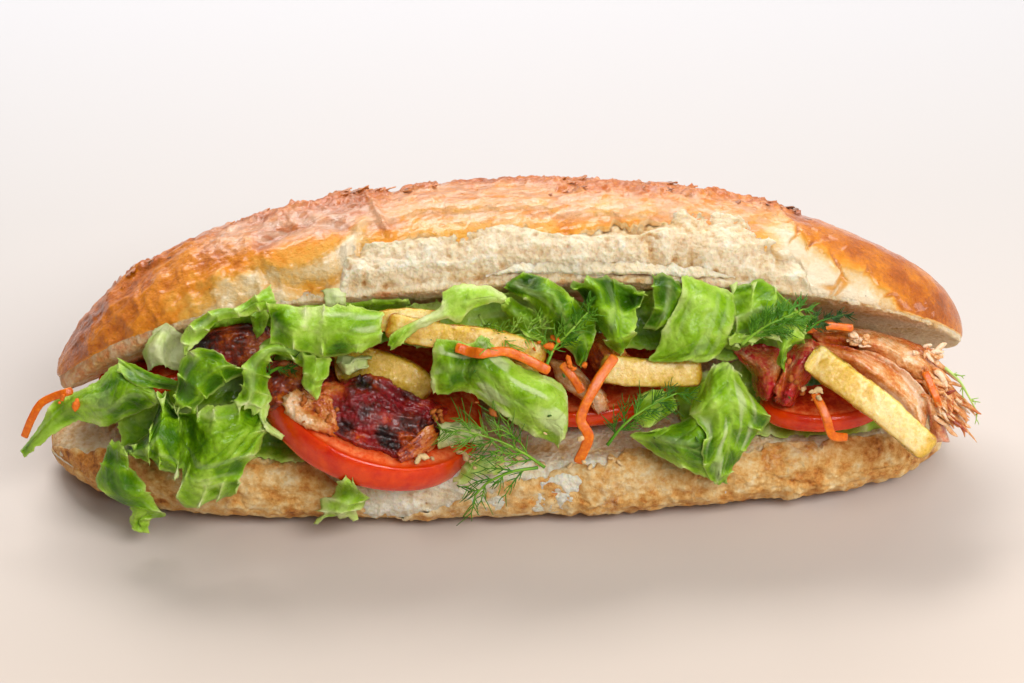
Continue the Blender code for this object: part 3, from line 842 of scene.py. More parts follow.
def makeLidLip(material):
    # the thin strip of skin left along the lid's front edge below the tear
    countU, countV = 320, 18
    x = np.linspace(-9.0, 66.0, countU)
    s = x / rollSpec["halfLength"]
    p = onLine(x)
    fade = smooth(-9.0, 3.0, x) * smooth(66.0, 56.0, x)
    ragged = 1.3 * noise(p, 11.0, 3) + 0.9 * noise(p, 2.6, 4) + 0.5 * noise(p, 1.1, 8)
    top = 2.6 + (2.8 + ragged) * fade
    low = 1.9 + 0.6 * noise(p, 6.0, 5) + 0.3 * noise(p, 1.7, 6)
    share = np.linspace(0.0, 1.0, countV)[None, :]
    high = low[:, None] + (top - low)[:, None] * share
    points = lidShape(s[:, None], np.arcsin(np.clip(high / lidDome(s)[:, None], 0.0, 1.0) ** 1.25))
    out = 1.7 * np.sqrt(np.clip(1.0 - (2.0 * share - 1.0) ** 4, 0.0, 1.0))
    out = out * (0.2 + 0.8 * fade[:, None]) * (1.1 - 0.4 * share)
    out = out + 0.9 * noise(points, 8.0, 9) + 0.5 * noise(points, 1.6, 10) - 0.3
    _, _, angle = lidAxis(s[:, None])
    points = points + np.stack([0 * out, -out * np.cos(angle), out * np.sin(angle)], -1)
    values = {"pale": np.clip(0.68 + 0.4 * layered(points, 5.0, 12, 3), 0, 1)}
    raiseGround(worldToFace(points))
    return makePiece("lid_lip", points, gridFaces(countU, countV), material, values)


def lowerEdge(x):
    # share of the lower half's height up to which it has its skin, with a ragged edge
    p = onLine(x)
    return rollCurve("lowerSkin", x) + 0.05 * noise(p, 7.0, 21) + 0.035 * noise(p, 2.0, 22)


def makeLowerCrust(material):
    # the lower half's skin, from its ragged front edge round below to the hinge
    spec = rollSpec
    countU, countV = 520, 180
    s = stations(countU)
    turns = evenTurns(lowerShape, math.pi - 0.75, 2.0 * math.pi + 0.5, 1200,
                      lambda t: 1.0 + 1.4 * (t < 4.5))
    # the skin starts at the front where the shape reaches the ragged level
    level = lowerEdge(s * spec["halfLength"])
    rise = np.clip((level - 0.5) * 2.0, 0.0, 0.98) ** 2.0
    rise = rise - np.clip((0.5 - level) / 0.53, 0.0, 1.0) ** 1.43
    first = math.pi - np.arcsin(np.clip(rise, -0.9, 0.68))
    points = lowerShape(s[:, None], skinTurns(turns, first, countV))
    n = outwardNormals(points)
    way = runLength(points, 1)
    skin = sheetEdge(np.minimum(way, way[:, -1:] - way), spec["crustThickness"])
    bumps = layered(points, 7.0, 121, 3)
    near, _ = cellDistances(points * (0.9, 1.0, 1.0) + 1.2 * bumps[..., None], 4.2, 122)
    blistered = smooth(-0.3, 0.3, noise(points, 11.0, 124))
    crinkle = creased(points * (0.8, 1.0, 1.0), 4.6, 123, 3) - 0.4
    scabs = creased(points * (0.8, 1.0, 1.0), 2.6, 129, 2) - 0.4
    leftEnd = smooth(-95.0, -125.0, points[..., 0])
    d = 1.1 * layered(points, 30.0, 125, 2) + 1.1 * bumps + 1.3 * crinkle + 0.5 * scabs
    d = d + 0.9 * smooth(0.75, 0.15, near) * blistered
    d = d + leftEnd * 2.2 * (creased(points, 12.0, 127, 2) - 0.45) + skin
    narrow = taper(s, 8.0, 0.5)[:, None]
    d = sunkEdge(d * (0.25 + 0.75 * narrow), way)
    flat = smooth(3.0, 0.5, points[..., 2])
    points = points + n * (d * (1.0 - flat) + 0.1 * flat)[..., None]
    points[..., 2] = np.maximum(points[..., 2], 0.12 * np.abs(bumps) * flat)
    x, y, z = points[..., 0], points[..., 1], points[..., 2]
    bake = 0.40 + 0.46 * layered(points, 5.0, 131, 4) - 0.14 * bumps - 0.22 * crinkle
    bake = bake + 0.20 * smooth(6.0, 0.5, z) + 0.10 * smooth(30.0, 60.0, y)
    bake = bake + 0.16 * smooth(0.25, 0.6, near) * smooth(-0.3, 0.3, noise(points, 11.0, 124))
    bake = bake + 0.08 * smooth(20.0, 100.0, x) + 0.20 * leftEnd - 0.12 * smooth(2.5, 0.0, way)
    flour = smooth(0.0, 0.5, layered(points, 9.0, 135, 4))
    raiseGround(worldToFace(points))
    return makePiece("lower_crust", points, gridFaces(countU, countV), material,
                     {"bake": np.clip(bake, 0.0, 1.0), "flour": flour})


flakeSpec = {
    # where the skin has flaked: along the roll, height above the cut face, their spreads, how many
    "patches": [(-118, 17, 3, 1.6, 5), (-111, 21, 4, 1.2, 6), (-80, 30, 4, 1.2, 7),
                (-66, 32, 3, 1.2, 4), (-44, 33.5, 6, 1.6, 14), (-27, 34.5, 4, 1.2, 6),
                (18, 34.8, 3, 1.4, 6), (19, 31, 5, 1.6, 14), (43, 32, 5, 2.2, 16),
                (50, 34.4, 5, 1.2, 8), (78, 29.5, 4, 2.4, 12), (86, 28.5, 3, 1.4, 6)],
    "long": 2.5,         # millimetres, give or take a half
    "thickness": 0.3,
}


def makeCrustFlakes(material):
    # curled scales: a small grid each, its outline rounded off, bent along its length and tilted
    rng = np.random.default_rng(5)
    countU, countV = 7, 5
    where = np.concatenate([np.column_stack([
        rng.normal(x, spreadX, number), rng.normal(high, spreadHigh, number)])
        for x, high, spreadX, spreadHigh, number in flakeSpec["patches"]])
    number = len(where)
    s = where[:, 0] / rollSpec["halfLength"]
    turn = domeTurn(where[:, 1], s)
    step = 0.004
    base = lidShape(s, turn)
    along = unit(lidShape(s + step, turn) - lidShape(s - step, turn))
    across = unit(lidShape(s, turn + step) - lidShape(s, turn - step))
    n = np.cross(across, along)
    n = n * np.sign(n @ np.array([0.0, -0.2, 1.0]))[:, None]
    relief, _ = lidRelief(base)
    base = base + n * (relief + rollSpec["crustThickness"] - 0.2)[:, None]
    heading = rng.uniform(-0.9, 0.9, number)[:, None]
    ahead = along * np.cos(heading) + across * np.sin(heading)
    side = np.cross(n, ahead)
    length = (flakeSpec["long"] * rng.uniform(0.5, 1.7, number))[:, None, None]
    width = length * rng.uniform(0.5, 1.0, number)[:, None, None]
    tilt = rng.uniform(0.0, 0.32, number)[:, None, None]
    bend = rng.uniform(-0.15, 0.16, number)[:, None, None]
    u = np.linspace(0.0, 1.0, countU)[None, :, None]
    v = np.linspace(-0.5, 0.5, countV)[None, None, :]
    fringe = 1.0 + 0.55 * rng.uniform(-1.0, 1.0, (number, countU, 1))
    p = u * length + 0.0 * v
    q = v * width * np.sqrt(np.clip(1.0 - (1.7 * u - 0.85) ** 2, 0.1, 1.0)) * fringe
    r = p * np.sin(tilt) + bend * length * u ** 2 - 0.3 * q ** 2 / (width + 0.1)
    p = p * np.cos(tilt)
    sheet = base[:, None, None, :]
    for amount, way in ((p, ahead), (q, side), (r, n)):
        sheet = sheet + amount[..., None] * way[:, None, None, :]
    lift = 0.5 * flakeSpec["thickness"] * n[:, None, None, :]
    both = np.stack([sheet + lift, sheet - lift], 1)
    faces = closedSheet(countU, countV)[None] \
        + (np.arange(number) * 2 * countU * countV)[:, None, None]
    backwards = (np.cross(ahead, side) * n).sum(1) < 0.0
    faces[backwards] = faces[backwards][:, :, ::-1]
    bake = np.clip(0.76 + 0.10 * rng.normal(size=number), 0.5, 0.95) - 0.25 * (where[:, 1] < 12.0)
    bake = np.repeat(bake, 2 * countU * countV)
    # the flakes take half of the painted highlight of the top
    return makePiece("crust_flakes", both, faces.reshape(-1, 4), material,
                     {"bake": bake, "painted_sheen": 0.5 + 0.0 * bake})


def makeLowerCrumb(material):
    # the lower half a little smaller, bare at the front where its skin is torn off
    countU, countV = 460, 170
    s = stations(countU)
    turns = evenTurns(lowerShape, -0.3, math.pi + 1.2, countV, lambda t: 1.0 + 2.0 * (t > 2.2))
    points = lowerShape(s[:, None], turns[None, :])
    n = outwardNormals(points, below=10.0)
    depth, _ = crumbDepth(points, 141)
    front = smooth(2.3, 2.7, turns)[None, :]
    bare = front * smooth(-52.0, -44.0, points[..., 0]) * smooth(40.0, 20.0, points[..., 0])
    swell = 1.1 * layered(points, 30.0, 125, 2) * front
    d = swell + (0.35 + 0.5 * bare) * depth - 0.2 + 0.8 * bare
    narrow = taper(s, 8.0, 0.5)[:, None]
    points = points + n * (d * (0.2 + 0.8 * narrow))[..., None]
    points[..., 2] = np.maximum(points[..., 2], 0.6)
    stain = smooth(0.0, 0.6, layered(points, 16.0, 147, 3)) * (1.0 - front)
    # pale: painted light, paler on the crumb's lumps; also paler where the front is bare
    values = {"pale": np.clip(0.6 + 0.3 * depth + 0.3 * bare, 0.0, 1.0), "stain": 0.6 * stain,
              "cut": 0.3 * (1.0 - front) + 0.0 * depth}
    raiseGround(worldToFace(points))
    return makePiece("lower_crumb", points, gridFaces(countU, countV), material, values)


def makeNeck(material):
    # the uncut ridge of crust that hinges the two halves
    countU, countV = 360, 72
    s = stations(countU, 0.757)
    turn = np.linspace(0.0, 2.0 * math.pi, countV, endpoint=False)
    points = neckShape(s[:, None], turn[None, :])
    n = outwardNormals(points, around=True)
    bumps = layered(points, 9.0, 151, 4)
    points = points + n * (0.9 * bumps + 0.7 * (creased(points, 12.0, 153, 2) - 0.4))[..., None]
    return makePiece("hinge_crust", points, gridFaces(countU, countV, around=True), material,
                     {"bake": np.clip(0.55 + 0.3 * bumps, 0, 1), "flour": 0.5 + 0.5 * bumps})


def lidCrustFinish():
    # egg-glazed skin: cream where it was shaded in the oven, amber to brown where it wasn't
    f = Finish("lid_crust")
    bake = f.sum(f.kept("bake"), f.mottle(6.0, 6.0, 0.62, 0.12), f.mottle(1.1, 4.0, 0.6, 0.06))
    shade = f.ramp(bake, [(0.0, (240, 220, 186)), (0.16, (236, 200, 144)), (0.34, (236, 170, 66)),
                          (0.54, (236, 142, 14)), (0.74, (194, 98, 4)), (1.0, (108, 44, 2))])
    flecks = f.spread(f.grain(2.6, 6.0, 0.66, (0.4, 1, 1)), 0.36, 0.60, 0.15, 1.0)
    # painted highlight: the whitish sheen in flecks over the top, in place of gloss from the lamps
    painted_sheen = f.times(f.times(f.kept("painted_sheen"), flecks), 0.62)
    shade = f.blend(painted_sheen, shade, colour(226, 190, 160))
    specks = f.times(f.spread(f.cells(3.1, "F1"), 0.04, 0.11, 1.0, 0.0),
                     f.spread(f.grain(9.0, 2.0), 0.52, 0.62))
    shade = f.blend(f.times(specks, 0.6), shade, colour(110, 50, 14))
    shade = f.blend(f.times(f.kept("crack"), 0.5), shade, colour(206, 140, 72))
    flaky = f.times(f.kept("flake"), f.spread(f.grain(1.3, 4.0, 0.6), 0.42, 0.62, 0.0, 0.75))
    shade = f.blend(flaky, shade, colour(196, 92, 14))
    height = f.sum(f.times(f.grain(0.55, 5.0, 0.65), 0.5), f.times(f.cells(1.6, "F1"), 0.35),
                   f.times(f.grain(2.4, 6.0, 0.68, (0.5, 1, 1)), 2.4))
    gloss = f.sum(f.spread(bake, 0.2, 0.6, 0.62, 0.34),
                  f.spread(f.grain(4.0, 4.0, 0.6), 0.35, 0.65, -0.07, 0.10),
                  f.times(f.kept("flake"), 0.2))
    return f.wear(Base_Color=shade, Roughness=gloss, Specular_IOR_Level=0.32, Coat_Weight=0.5,
                  Coat_Roughness=0.14, Normal=f.bump(height, 0.6))


def lowerCrustFinish():
    # dry, mottled skin, dusted here and there with flour
    f = Finish("lower_crust")
    bake = f.sum(f.kept("bake"), f.mottle(3.4, 6.0, 0.65, 0.26), f.mottle(1.0, 4.0, 0.6, 0.12))
    shade = f.ramp(bake, [(0.0, (250, 228, 184)), (0.25, (244, 206, 142)), (0.5, (230, 172, 92)),
                          (0.75, (206, 128, 46)), (1.0, (146, 78, 20))])
    flour = f.times(f.kept("flour"), f.spread(f.grain(1.6, 5.0, 0.7), 0.48, 0.66, 0.0, 0.5))
    shade = f.blend(flour, shade, colour(248, 230, 198))
    specks = f.times(f.spread(f.cells(2.6, "F1"), 0.04, 0.12, 1.0, 0.0),
                     f.spread(f.grain(7.0, 2.0), 0.50, 0.60))
    shade = f.blend(f.times(specks, 0.6), shade, colour(120, 62, 20))
    height = f.sum(f.grain(1.3, 6.0, 0.65), f.times(f.grain(0.4, 4.0, 0.6), 0.4),
                   f.times(f.cells(2.2, "SMOOTH_F1"), -1.0))
    return f.wear(Base_Color=shade, Roughness=f.spread(f.grain(3.0, 4.0), 0.3, 0.7, 0.42, 0.68),
                  Specular_IOR_Level=0.4, Normal=f.bump(height, 1.0))


def crumbFinish():
    # white crumb, with painted shade darker in its pits and hollows and painted light on its lumps, and
    # browner where juice from the filling soaked in
    f = Finish("crumb")
    pale = f.sum(f.kept("pale"), f.mottle(2.4, 5.0, 0.62, 0.18))
    shade = f.ramp(pale, [(0.0, (194, 140, 84)), (0.25, (218, 180, 128)), (0.5, (234, 210, 172)),
                          (0.8, (244, 228, 198)), (1.0, (250, 240, 218))])
    shade = f.blend(f.times(f.kept("cut"), 0.28), shade, colour(226, 168, 112))
    stain = f.times(f.kept("stain"), f.spread(f.grain(2.5, 4.0), 0.4, 0.6, 0.2, 0.75))
    shade = f.blend(stain, shade, colour(212, 112, 34))
    height = f.sum(f.grain(1.0, 6.0, 0.7), f.times(f.cells(1.3, "F1"), 0.9),
                   f.times(f.grain(0.35, 3.0, 0.6), 0.3))
    return f.wear(Base_Color=shade, Roughness=0.9, Specular_IOR_Level=0.15,
                  Normal=f.bump(height, 0.8), Subsurface_Weight=0.5,
                  Subsurface_Radius=(1.0, 0.7, 0.4), Subsurface_Scale=0.004)


def makeRoll():
    # both halves and the hinge, from the top down
    crust, lowerSkin, crumb = lidCrustFinish(), lowerCrustFinish(), crumbFinish()
    for maker, material in ((makeLidCrust, crust), (makeLidCrumb, crumb), (makeLidLip, crumb),
                            (makeCrustFlakes, crust), (makeLowerCrust, lowerSkin),
                            (makeLowerCrumb, crumb), (makeNeck, lowerSkin)):
        maker(material)
    print("roll made")


makeRoll()


# Lettuce. A leaf is a smooth net of places: rows from one end to the other, each from edge to
# edge. On top come ruffled and toothed edges, puckers between the veins, and folds.

leafNets = {
    "corner_leaf": [
        [(-153, 8, 30), (-153, 7, 31), (-152, 6, 30)],
        [(-148, 14, 33), (-147, 12, 36), (-146, 10, 34)],
        [(-142, 23, 36), (-139, 19, 40), (-138, 15, 36)],
        [(-134, 26, 40), (-132, 22, 46), (-132, 17, 40)],
        [(-128, 29, 44), (-125, 23, 51), (-125, 15, 42)],
        [(-122, 34, 46), (-118, 26, 55), (-118, 18, 46)],
        [(-115, 30, 50), (-112, 25, 55), (-113, 20, 50)],
        [(-110, 26, 52), (-109, 23, 53), (-110, 21, 51)],
    ],
    "corner_leaf_roll": [
        [(-119, 36, 44), (-118, 35, 46), (-119, 32, 44)],
        [(-112, 33, 46), (-111, 30, 50), (-112, 27, 44)],
        [(-105, 30, 47), (-105, 28, 50), (-106, 26, 45)],
        [(-99, 28, 46), (-99, 27, 47), (-100, 25, 44)],
    ],
    "folded_heart_leaf": [
        [(-107, 46, 30), (-104, 47, 33), (-102, 46, 31), (-99, 44, 31)],
        [(-110, 42, 33), (-106, 43, 40), (-102, 41, 34), (-99, 39, 33)],
        [(-112, 38, 33), (-107, 39, 41), (-103, 37, 33), (-99, 36, 35)],
        [(-111, 34, 31), (-106, 35, 38), (-103, 33, 33), (-99, 32, 32)],
    ],
    "pale_ribbon": [
        [(-98, 38, 50), (-97, 38, 51), (-95, 39, 50)],
        [(-98, 43, 52), (-96, 42, 54), (-93, 42, 52)],
        [(-94, 48, 54), (-92, 46, 57), (-90, 45, 54)],
        [(-87, 51, 56), (-86, 50, 58), (-86, 48, 56)],
        [(-82, 52, 57), (-81, 50, 59), (-80, 48, 57)],
        [(-76, 55, 58), (-75, 53, 61), (-74, 50, 58)],
        [(-73, 57, 58), (-70, 54, 60), (-71, 51, 58)],
    ],
    "green_flap": [
        [(-101, 24, 47), (-99, 23, 49), (-97, 22, 47)],
        [(-99, 29, 48), (-96, 27, 52), (-93, 23, 48)],
        [(-98, 35, 49), (-93, 32, 54), (-89, 26, 50)],
        [(-93, 39, 49), (-88, 35, 54), (-85, 30, 50)],
        [(-87, 38, 49), (-83, 35, 52), (-80, 33, 49)],
    ],
    "broad_ruffle": [
        [(-122, 9, 44), (-121, 8, 46), (-121, 7, 46), (-119, 6, 45)],
        [(-114, 12, 48), (-114, 10, 52), (-114, 7, 53), (-114, 4, 49)],
        [(-109, 22, 48), (-109, 16, 55), (-110, 9, 57), (-110, 2, 52)],
        [(-106, 20, 47), (-105, 14, 53), (-105, 8, 54), (-106, 1, 50)],
        [(-102, 19, 44), (-102, 14, 46), (-102, 7, 48), (-104, 0, 48)],
        [(-96, 20, 50), (-96, 13, 55), (-98, 4, 56), (-105, -8, 46)],
        [(-91, 20, 50), (-91, 11, 58), (-94, 3, 56), (-100, -10, 44)],
        [(-85, 20, 49), (-85, 12, 56), (-88, 4, 54), (-92, -7, 44)],
        [(-80, 18, 47), (-79, 12, 50), (-82, 5, 49), (-86, -4, 44)],
    ],
    "hanging_lobe": [
        [(-120, 14, 42), (-118, 12, 44), (-115, 9, 43)],
        [(-124, 5, 41), (-119, 3, 46), (-114, 4, 43)],
        [(-125, -1, 40), (-118, -2, 45), (-111, -1, 42)],
        [(-120, -6, 37), (-114, -7, 41), (-108, -7, 38)],
        [(-116, -8, 35), (-112, -9, 38), (-106, -11, 34)],
        [(-117, -12, 32), (-114, -12, 34), (-110, -12, 32)],
        [(-116, -15, 30), (-114, -16, 31), (-110, -16, 30)],
    ],
    "climbing_band": [
        [(-89, 19, 50), (-85, 18, 53), (-81, 16, 50)],
        [(-86, 24, 51), (-82, 22, 55), (-78, 21, 51)],
        [(-85, 29, 52), (-81, 28, 56), (-77, 27, 52)],
        [(-82, 33, 53), (-80, 32, 57), (-77, 30, 53)],
        [(-78, 36, 54), (-76, 35, 58), (-74, 33, 54)],
        [(-73, 38, 55), (-71, 35, 59), (-69, 32, 55)],
        [(-65, 36, 55), (-65, 34, 58), (-65, 30, 54)],
        [(-59, 35, 53), (-60, 33, 56), (-62, 30, 53)],
    ],
    "hanging_tip": [
        [(-65, 35, 53), (-61, 35, 55), (-56, 34, 53)],
        [(-65, 30, 53), (-61, 30, 56), (-57, 30, 53)],
        [(-65, 26, 51), (-62, 26, 54), (-59, 27, 51)],
        [(-62, 23, 49), (-61, 22, 50), (-60, 23, 49)],
    ],
    "side_ribbon": [
        [(-77, 30, 44), (-76, 29, 46), (-75, 28, 44)],
        [(-78, 24, 46), (-76, 24, 48), (-74, 24, 46)],
        [(-78, 20, 46), (-77, 19, 48), (-75, 20, 46)],
        [(-76, 15, 47), (-75, 16, 49), (-75, 17, 47)],
        [(-72, 12, 47), (-71, 12, 48), (-70, 13, 47)],
    ],
    "broad_leaf": [
        [(-74, 50, 52), (-73, 45, 54), (-74, 40, 52)],
        [(-69, 50, 55), (-69, 45, 59), (-69, 38, 55)],
        [(-64, 49, 57), (-64, 43, 60), (-64, 36, 56)],
        [(-59, 49, 56), (-60, 43, 57), (-60, 35, 55)],
        [(-55, 49, 57), (-55, 42, 61), (-56, 34, 57)],
        [(-49, 49, 57), (-49, 42, 62), (-50, 35, 57)],
        [(-43, 48, 56), (-44, 43, 60), (-45, 36, 55)],
        [(-39, 47, 54), (-40, 43, 56), (-41, 38, 53)],
    ],
    "long_ribbon": [
        [(-40, 38, 54), (-39, 37, 56), (-38, 36, 54)],
        [(-37, 42, 55), (-35, 41, 58), (-33, 39, 55)],
        [(-30, 45, 56), (-30, 44, 59), (-29, 42, 56)],
        [(-24, 48, 58), (-23, 46, 61), (-22, 45, 58)],
        [(-21, 54, 59), (-18, 50, 62), (-18, 44, 58)],
        [(-14, 55, 58), (-14, 51, 61), (-15, 47, 57)],
        [(-8, 54, 57), (-8, 51, 59), (-9, 49, 56)],
        [(-4, 51, 56), (-4, 50, 57), (-5, 49, 55)],
    ],
    "ribbon_tail": [
        [(-4, 51, 56), (-4, 50, 58), (-5, 48, 56)],
        [(0, 50, 57), (-1, 47, 60), (-2, 44, 56)],
        [(6, 45, 56), (4, 43, 59), (2, 40, 55)],
        [(8, 40, 54), (7, 38, 56), (5, 38, 53)],
        [(9, 36, 52), (8, 36, 53), (8, 36, 52)],
    ],
    "rolled_leaf": [
        [(-6, 54, 50), (-5, 55, 53), (-1, 58, 50)],
        [(-2, 51, 53), (1, 53, 58), (4, 58, 53)],
        [(3, 48, 55), (7, 51, 62), (9, 55, 56)],
        [(7, 43, 56), (11, 46, 63), (14, 51, 57)],
        [(9, 39, 55), (13, 42, 59), (19, 47, 56)],
        [(12, 36, 53), (16, 38, 55), (21, 43, 54)],
        [(15, 33, 51), (17, 35, 53), (21, 38, 52)],
        [(17, 28, 49), (18, 30, 51), (19, 33, 50)],
    ],
    "heart_ruffle": [
        [(17, 55, 50), (23, 57, 54), (31, 55, 50), (39, 53, 52)],
        [(20, 51, 51), (25, 51, 57), (32, 49, 48), (39, 50, 55)],
        [(21, 46, 52), (26, 45, 58), (32, 45, 53), (37, 47, 57)],
        [(24, 41, 51), (28, 41, 57), (31, 41, 55), (36, 43, 56)],
        [(27, 37, 50), (29, 37, 54), (31, 37, 54), (34, 38, 53)],
        [(30, 34, 49), (31, 34, 50), (31, 34, 50), (32, 35, 49)],
    ],
    "shade_leaf": [
        [(38, 54, 44), (42, 54, 46), (47, 52, 44)],
        [(38, 49, 44), (43, 49, 46), (48, 47, 44)],
        [(38, 44, 43), (42, 43, 45), (45, 41, 43)],
        [(35, 39, 42), (39, 38, 43), (43, 38, 42)],
    ],
    "square_leaf": [
        [(49, 58, 54), (56, 56, 57), (65, 52, 54)],
        [(48, 51, 56), (55, 50, 62), (65, 47, 57)],
        [(44, 44, 57), (53, 43, 63), (64, 42, 58)],
        [(41, 36, 57), (50, 36, 61), (62, 36, 56)],
        [(38, 32, 54), (48, 32, 57), (57, 32, 54)],
    ],
    "dill_leaf": [
        [(63, 53, 46), (63, 47, 48), (63, 41, 48), (63, 35, 46)],
        [(69, 54, 48), (68, 47, 52), (68, 41, 52), (68, 35, 49)],
        [(74, 54, 50), (73, 48, 55), (72, 42, 55), (73, 37, 52)],
        [(78, 51, 50), (78, 47, 55), (77, 42, 56), (77, 38, 53)],
        [(83, 47, 49), (83, 44, 53), (82, 41, 54), (82, 38, 51)],
        [(88, 42, 47), (87, 41, 50), (86, 38, 51), (86, 36, 49)],
    ],
    "tongue_leaf": [
        [(79, 39, 54), (83, 39, 57), (87, 36, 54)],
        [(78, 35, 56), (81, 36, 60), (86, 34, 56)],
        [(79, 31, 56), (80, 32, 60), (83, 33, 56)],
        [(79, 28, 54), (80, 28, 57), (82, 30, 54)],
        [(80, 26, 52), (81, 25, 53), (81, 26, 52)],
    ],
    "crown_leaf": [
        [(58, 27, 53), (61, 28, 56), (64, 28, 56), (67, 25, 53)],
        [(56, 22, 56), (59, 22, 62), (64, 22, 61), (69, 21, 55)],
        [(52, 14, 56), (58, 16, 63), (64, 16, 62), (75, 12, 54)],
        [(55, 7, 55), (59, 8, 60), (64, 8, 58), (73, 6, 52)],
        [(55, 0, 52), (59, 1, 57), (63, 1, 55), (69, 0, 50)],
        [(57, -6, 47), (59, -6, 51), (62, -6, 50), (65, -5, 47)],
        [(60, -8, 44), (60, -9, 45), (61, -9, 45), (62, -8, 44)],
    ],
    "wing_leaf": [
        [(32, 8, 50), (32, 7, 51), (34, 5, 50)],
        [(39, 9, 53), (39, 6, 56), (40, 1, 52)],
        [(45, 11, 54), (45, 5, 59), (47, -3, 52)],
        [(51, 13, 54), (52, 5, 60), (54, -6, 49)],
        [(56, 13, 53), (57, 4, 57), (60, -8, 45)],
    ],
    "curl_leaf": [
        [(38, 21, 50), (43, 22, 52), (48, 21, 50)],
        [(37, 18, 51), (42, 18, 55), (50, 18, 49)],
        [(37, 14, 51), (41, 14, 55), (50, 16, 48)],
        [(39, 11, 50), (41, 11, 52), (44, 12, 49)],
    ],
    "striped_leaf": [
        [(-25, 36, 50), (-26, 31, 53), (-27, 25, 53), (-27, 20, 50)],
        [(-20, 35, 53), (-21, 30, 58), (-22, 25, 58), (-23, 19, 53)],
        [(-15, 34, 53), (-16, 29, 55), (-17, 24, 55), (-18, 20, 51)],
        [(-11, 36, 54), (-12, 30, 60), (-13, 24, 59), (-14, 18, 52)],
        [(-6, 31, 56), (-7, 25, 62), (-8, 20, 60), (-10, 15, 53)],
        [(1, 26, 57), (-1, 21, 63), (-2, 16, 61), (-3, 10, 54)],
        [(8, 23, 56), (7, 18, 62), (5, 12, 60), (3, 6, 52)],
        [(13, 19, 54), (12, 14, 58), (11, 9, 57), (9, 3, 50)],
        [(14, 11, 51), (14, 8, 53), (13, 5, 53), (11, 1, 50)],
    ],
    "low_frill": [
        [(-54, -2, 44), (-51, -2, 46), (-47, -6, 44)],
        [(-55, -6, 44), (-51, -7, 47), (-46, -8, 44)],
        [(-58, -10, 42), (-53, -11, 45), (-49, -10, 42)],
        [(-60, -14, 38), (-55, -14, 40), (-49, -14, 38)],
    ],
    "shaded_flap": [
        [(-109, 26, 42), (-107, 26, 43), (-105, 26, 42)],
        [(-109, 23, 43), (-106, 23, 45), (-104, 23, 43)],
        [(-107, 21, 42), (-105, 21, 44), (-103, 20, 42)],
    ],
    "hanging_point": [
        [(-80, 50, 52), (-77, 50, 54), (-74, 50, 52)],
        [(-79, 47, 53), (-77, 46, 55), (-74, 47, 53)],
        [(-79, 44, 52), (-77, 43, 54), (-75, 44, 52)],
        [(-78, 41, 51), (-78, 41, 52), (-77, 42, 51)],
    ],
    "pale_scrap": [
        [(-57, 55, 50), (-54, 56, 51), (-51, 55, 50)],
        [(-57, 52, 52), (-54, 52, 53), (-51, 52, 52)],
        [(-56, 49, 53), (-54, 49, 54), (-52, 49, 53)],
    ],
    "pale_frill": [
        [(-53, 35, 50), (-51, 35, 52), (-48, 35, 50), (-44, 35, 50)],
        [(-54, 33, 51), (-51, 32, 55), (-48, 33, 53), (-45, 33, 52)],
        [(-53, 31, 50), (-51, 30, 53), (-49, 30, 52), (-45, 31, 50)],
    ],
    "tongue_frill": [
        [(63, 35, 52), (63, 37, 53), (64, 39, 52)],
        [(68, 35, 54), (68, 37, 56), (69, 38, 54)],
        [(71, 35, 55), (71, 37, 57), (72, 39, 55)],
        [(74, 37, 56), (75, 38, 58), (76, 39, 56)],
        [(78, 35, 55), (78, 37, 57), (79, 38, 55)],
    ],
    "sprig_leaf": [
        [(-20, -3, 46), (-19, -4, 47), (-18, -5, 46)],
        [(-17, 1, 48), (-15, -1, 51), (-13, -3, 48)],
        [(-13, 3, 49), (-11, 1, 52), (-8, -2, 49)],
        [(-7, 4, 48), (-6, 2, 50), (-5, 0, 48)],
    ],
    "yellow_frill": [
        [(-25, 14, 44), (-24, 11, 46), (-24, 6, 44)],
        [(-20, 14, 45), (-20, 11, 48), (-19, 7, 45)],
        [(-15, 14, 45), (-15, 11, 48), (-14, 7, 45)],
        [(-10, 11, 43), (-10, 10, 45), (-10, 5, 43)],
    ],
}

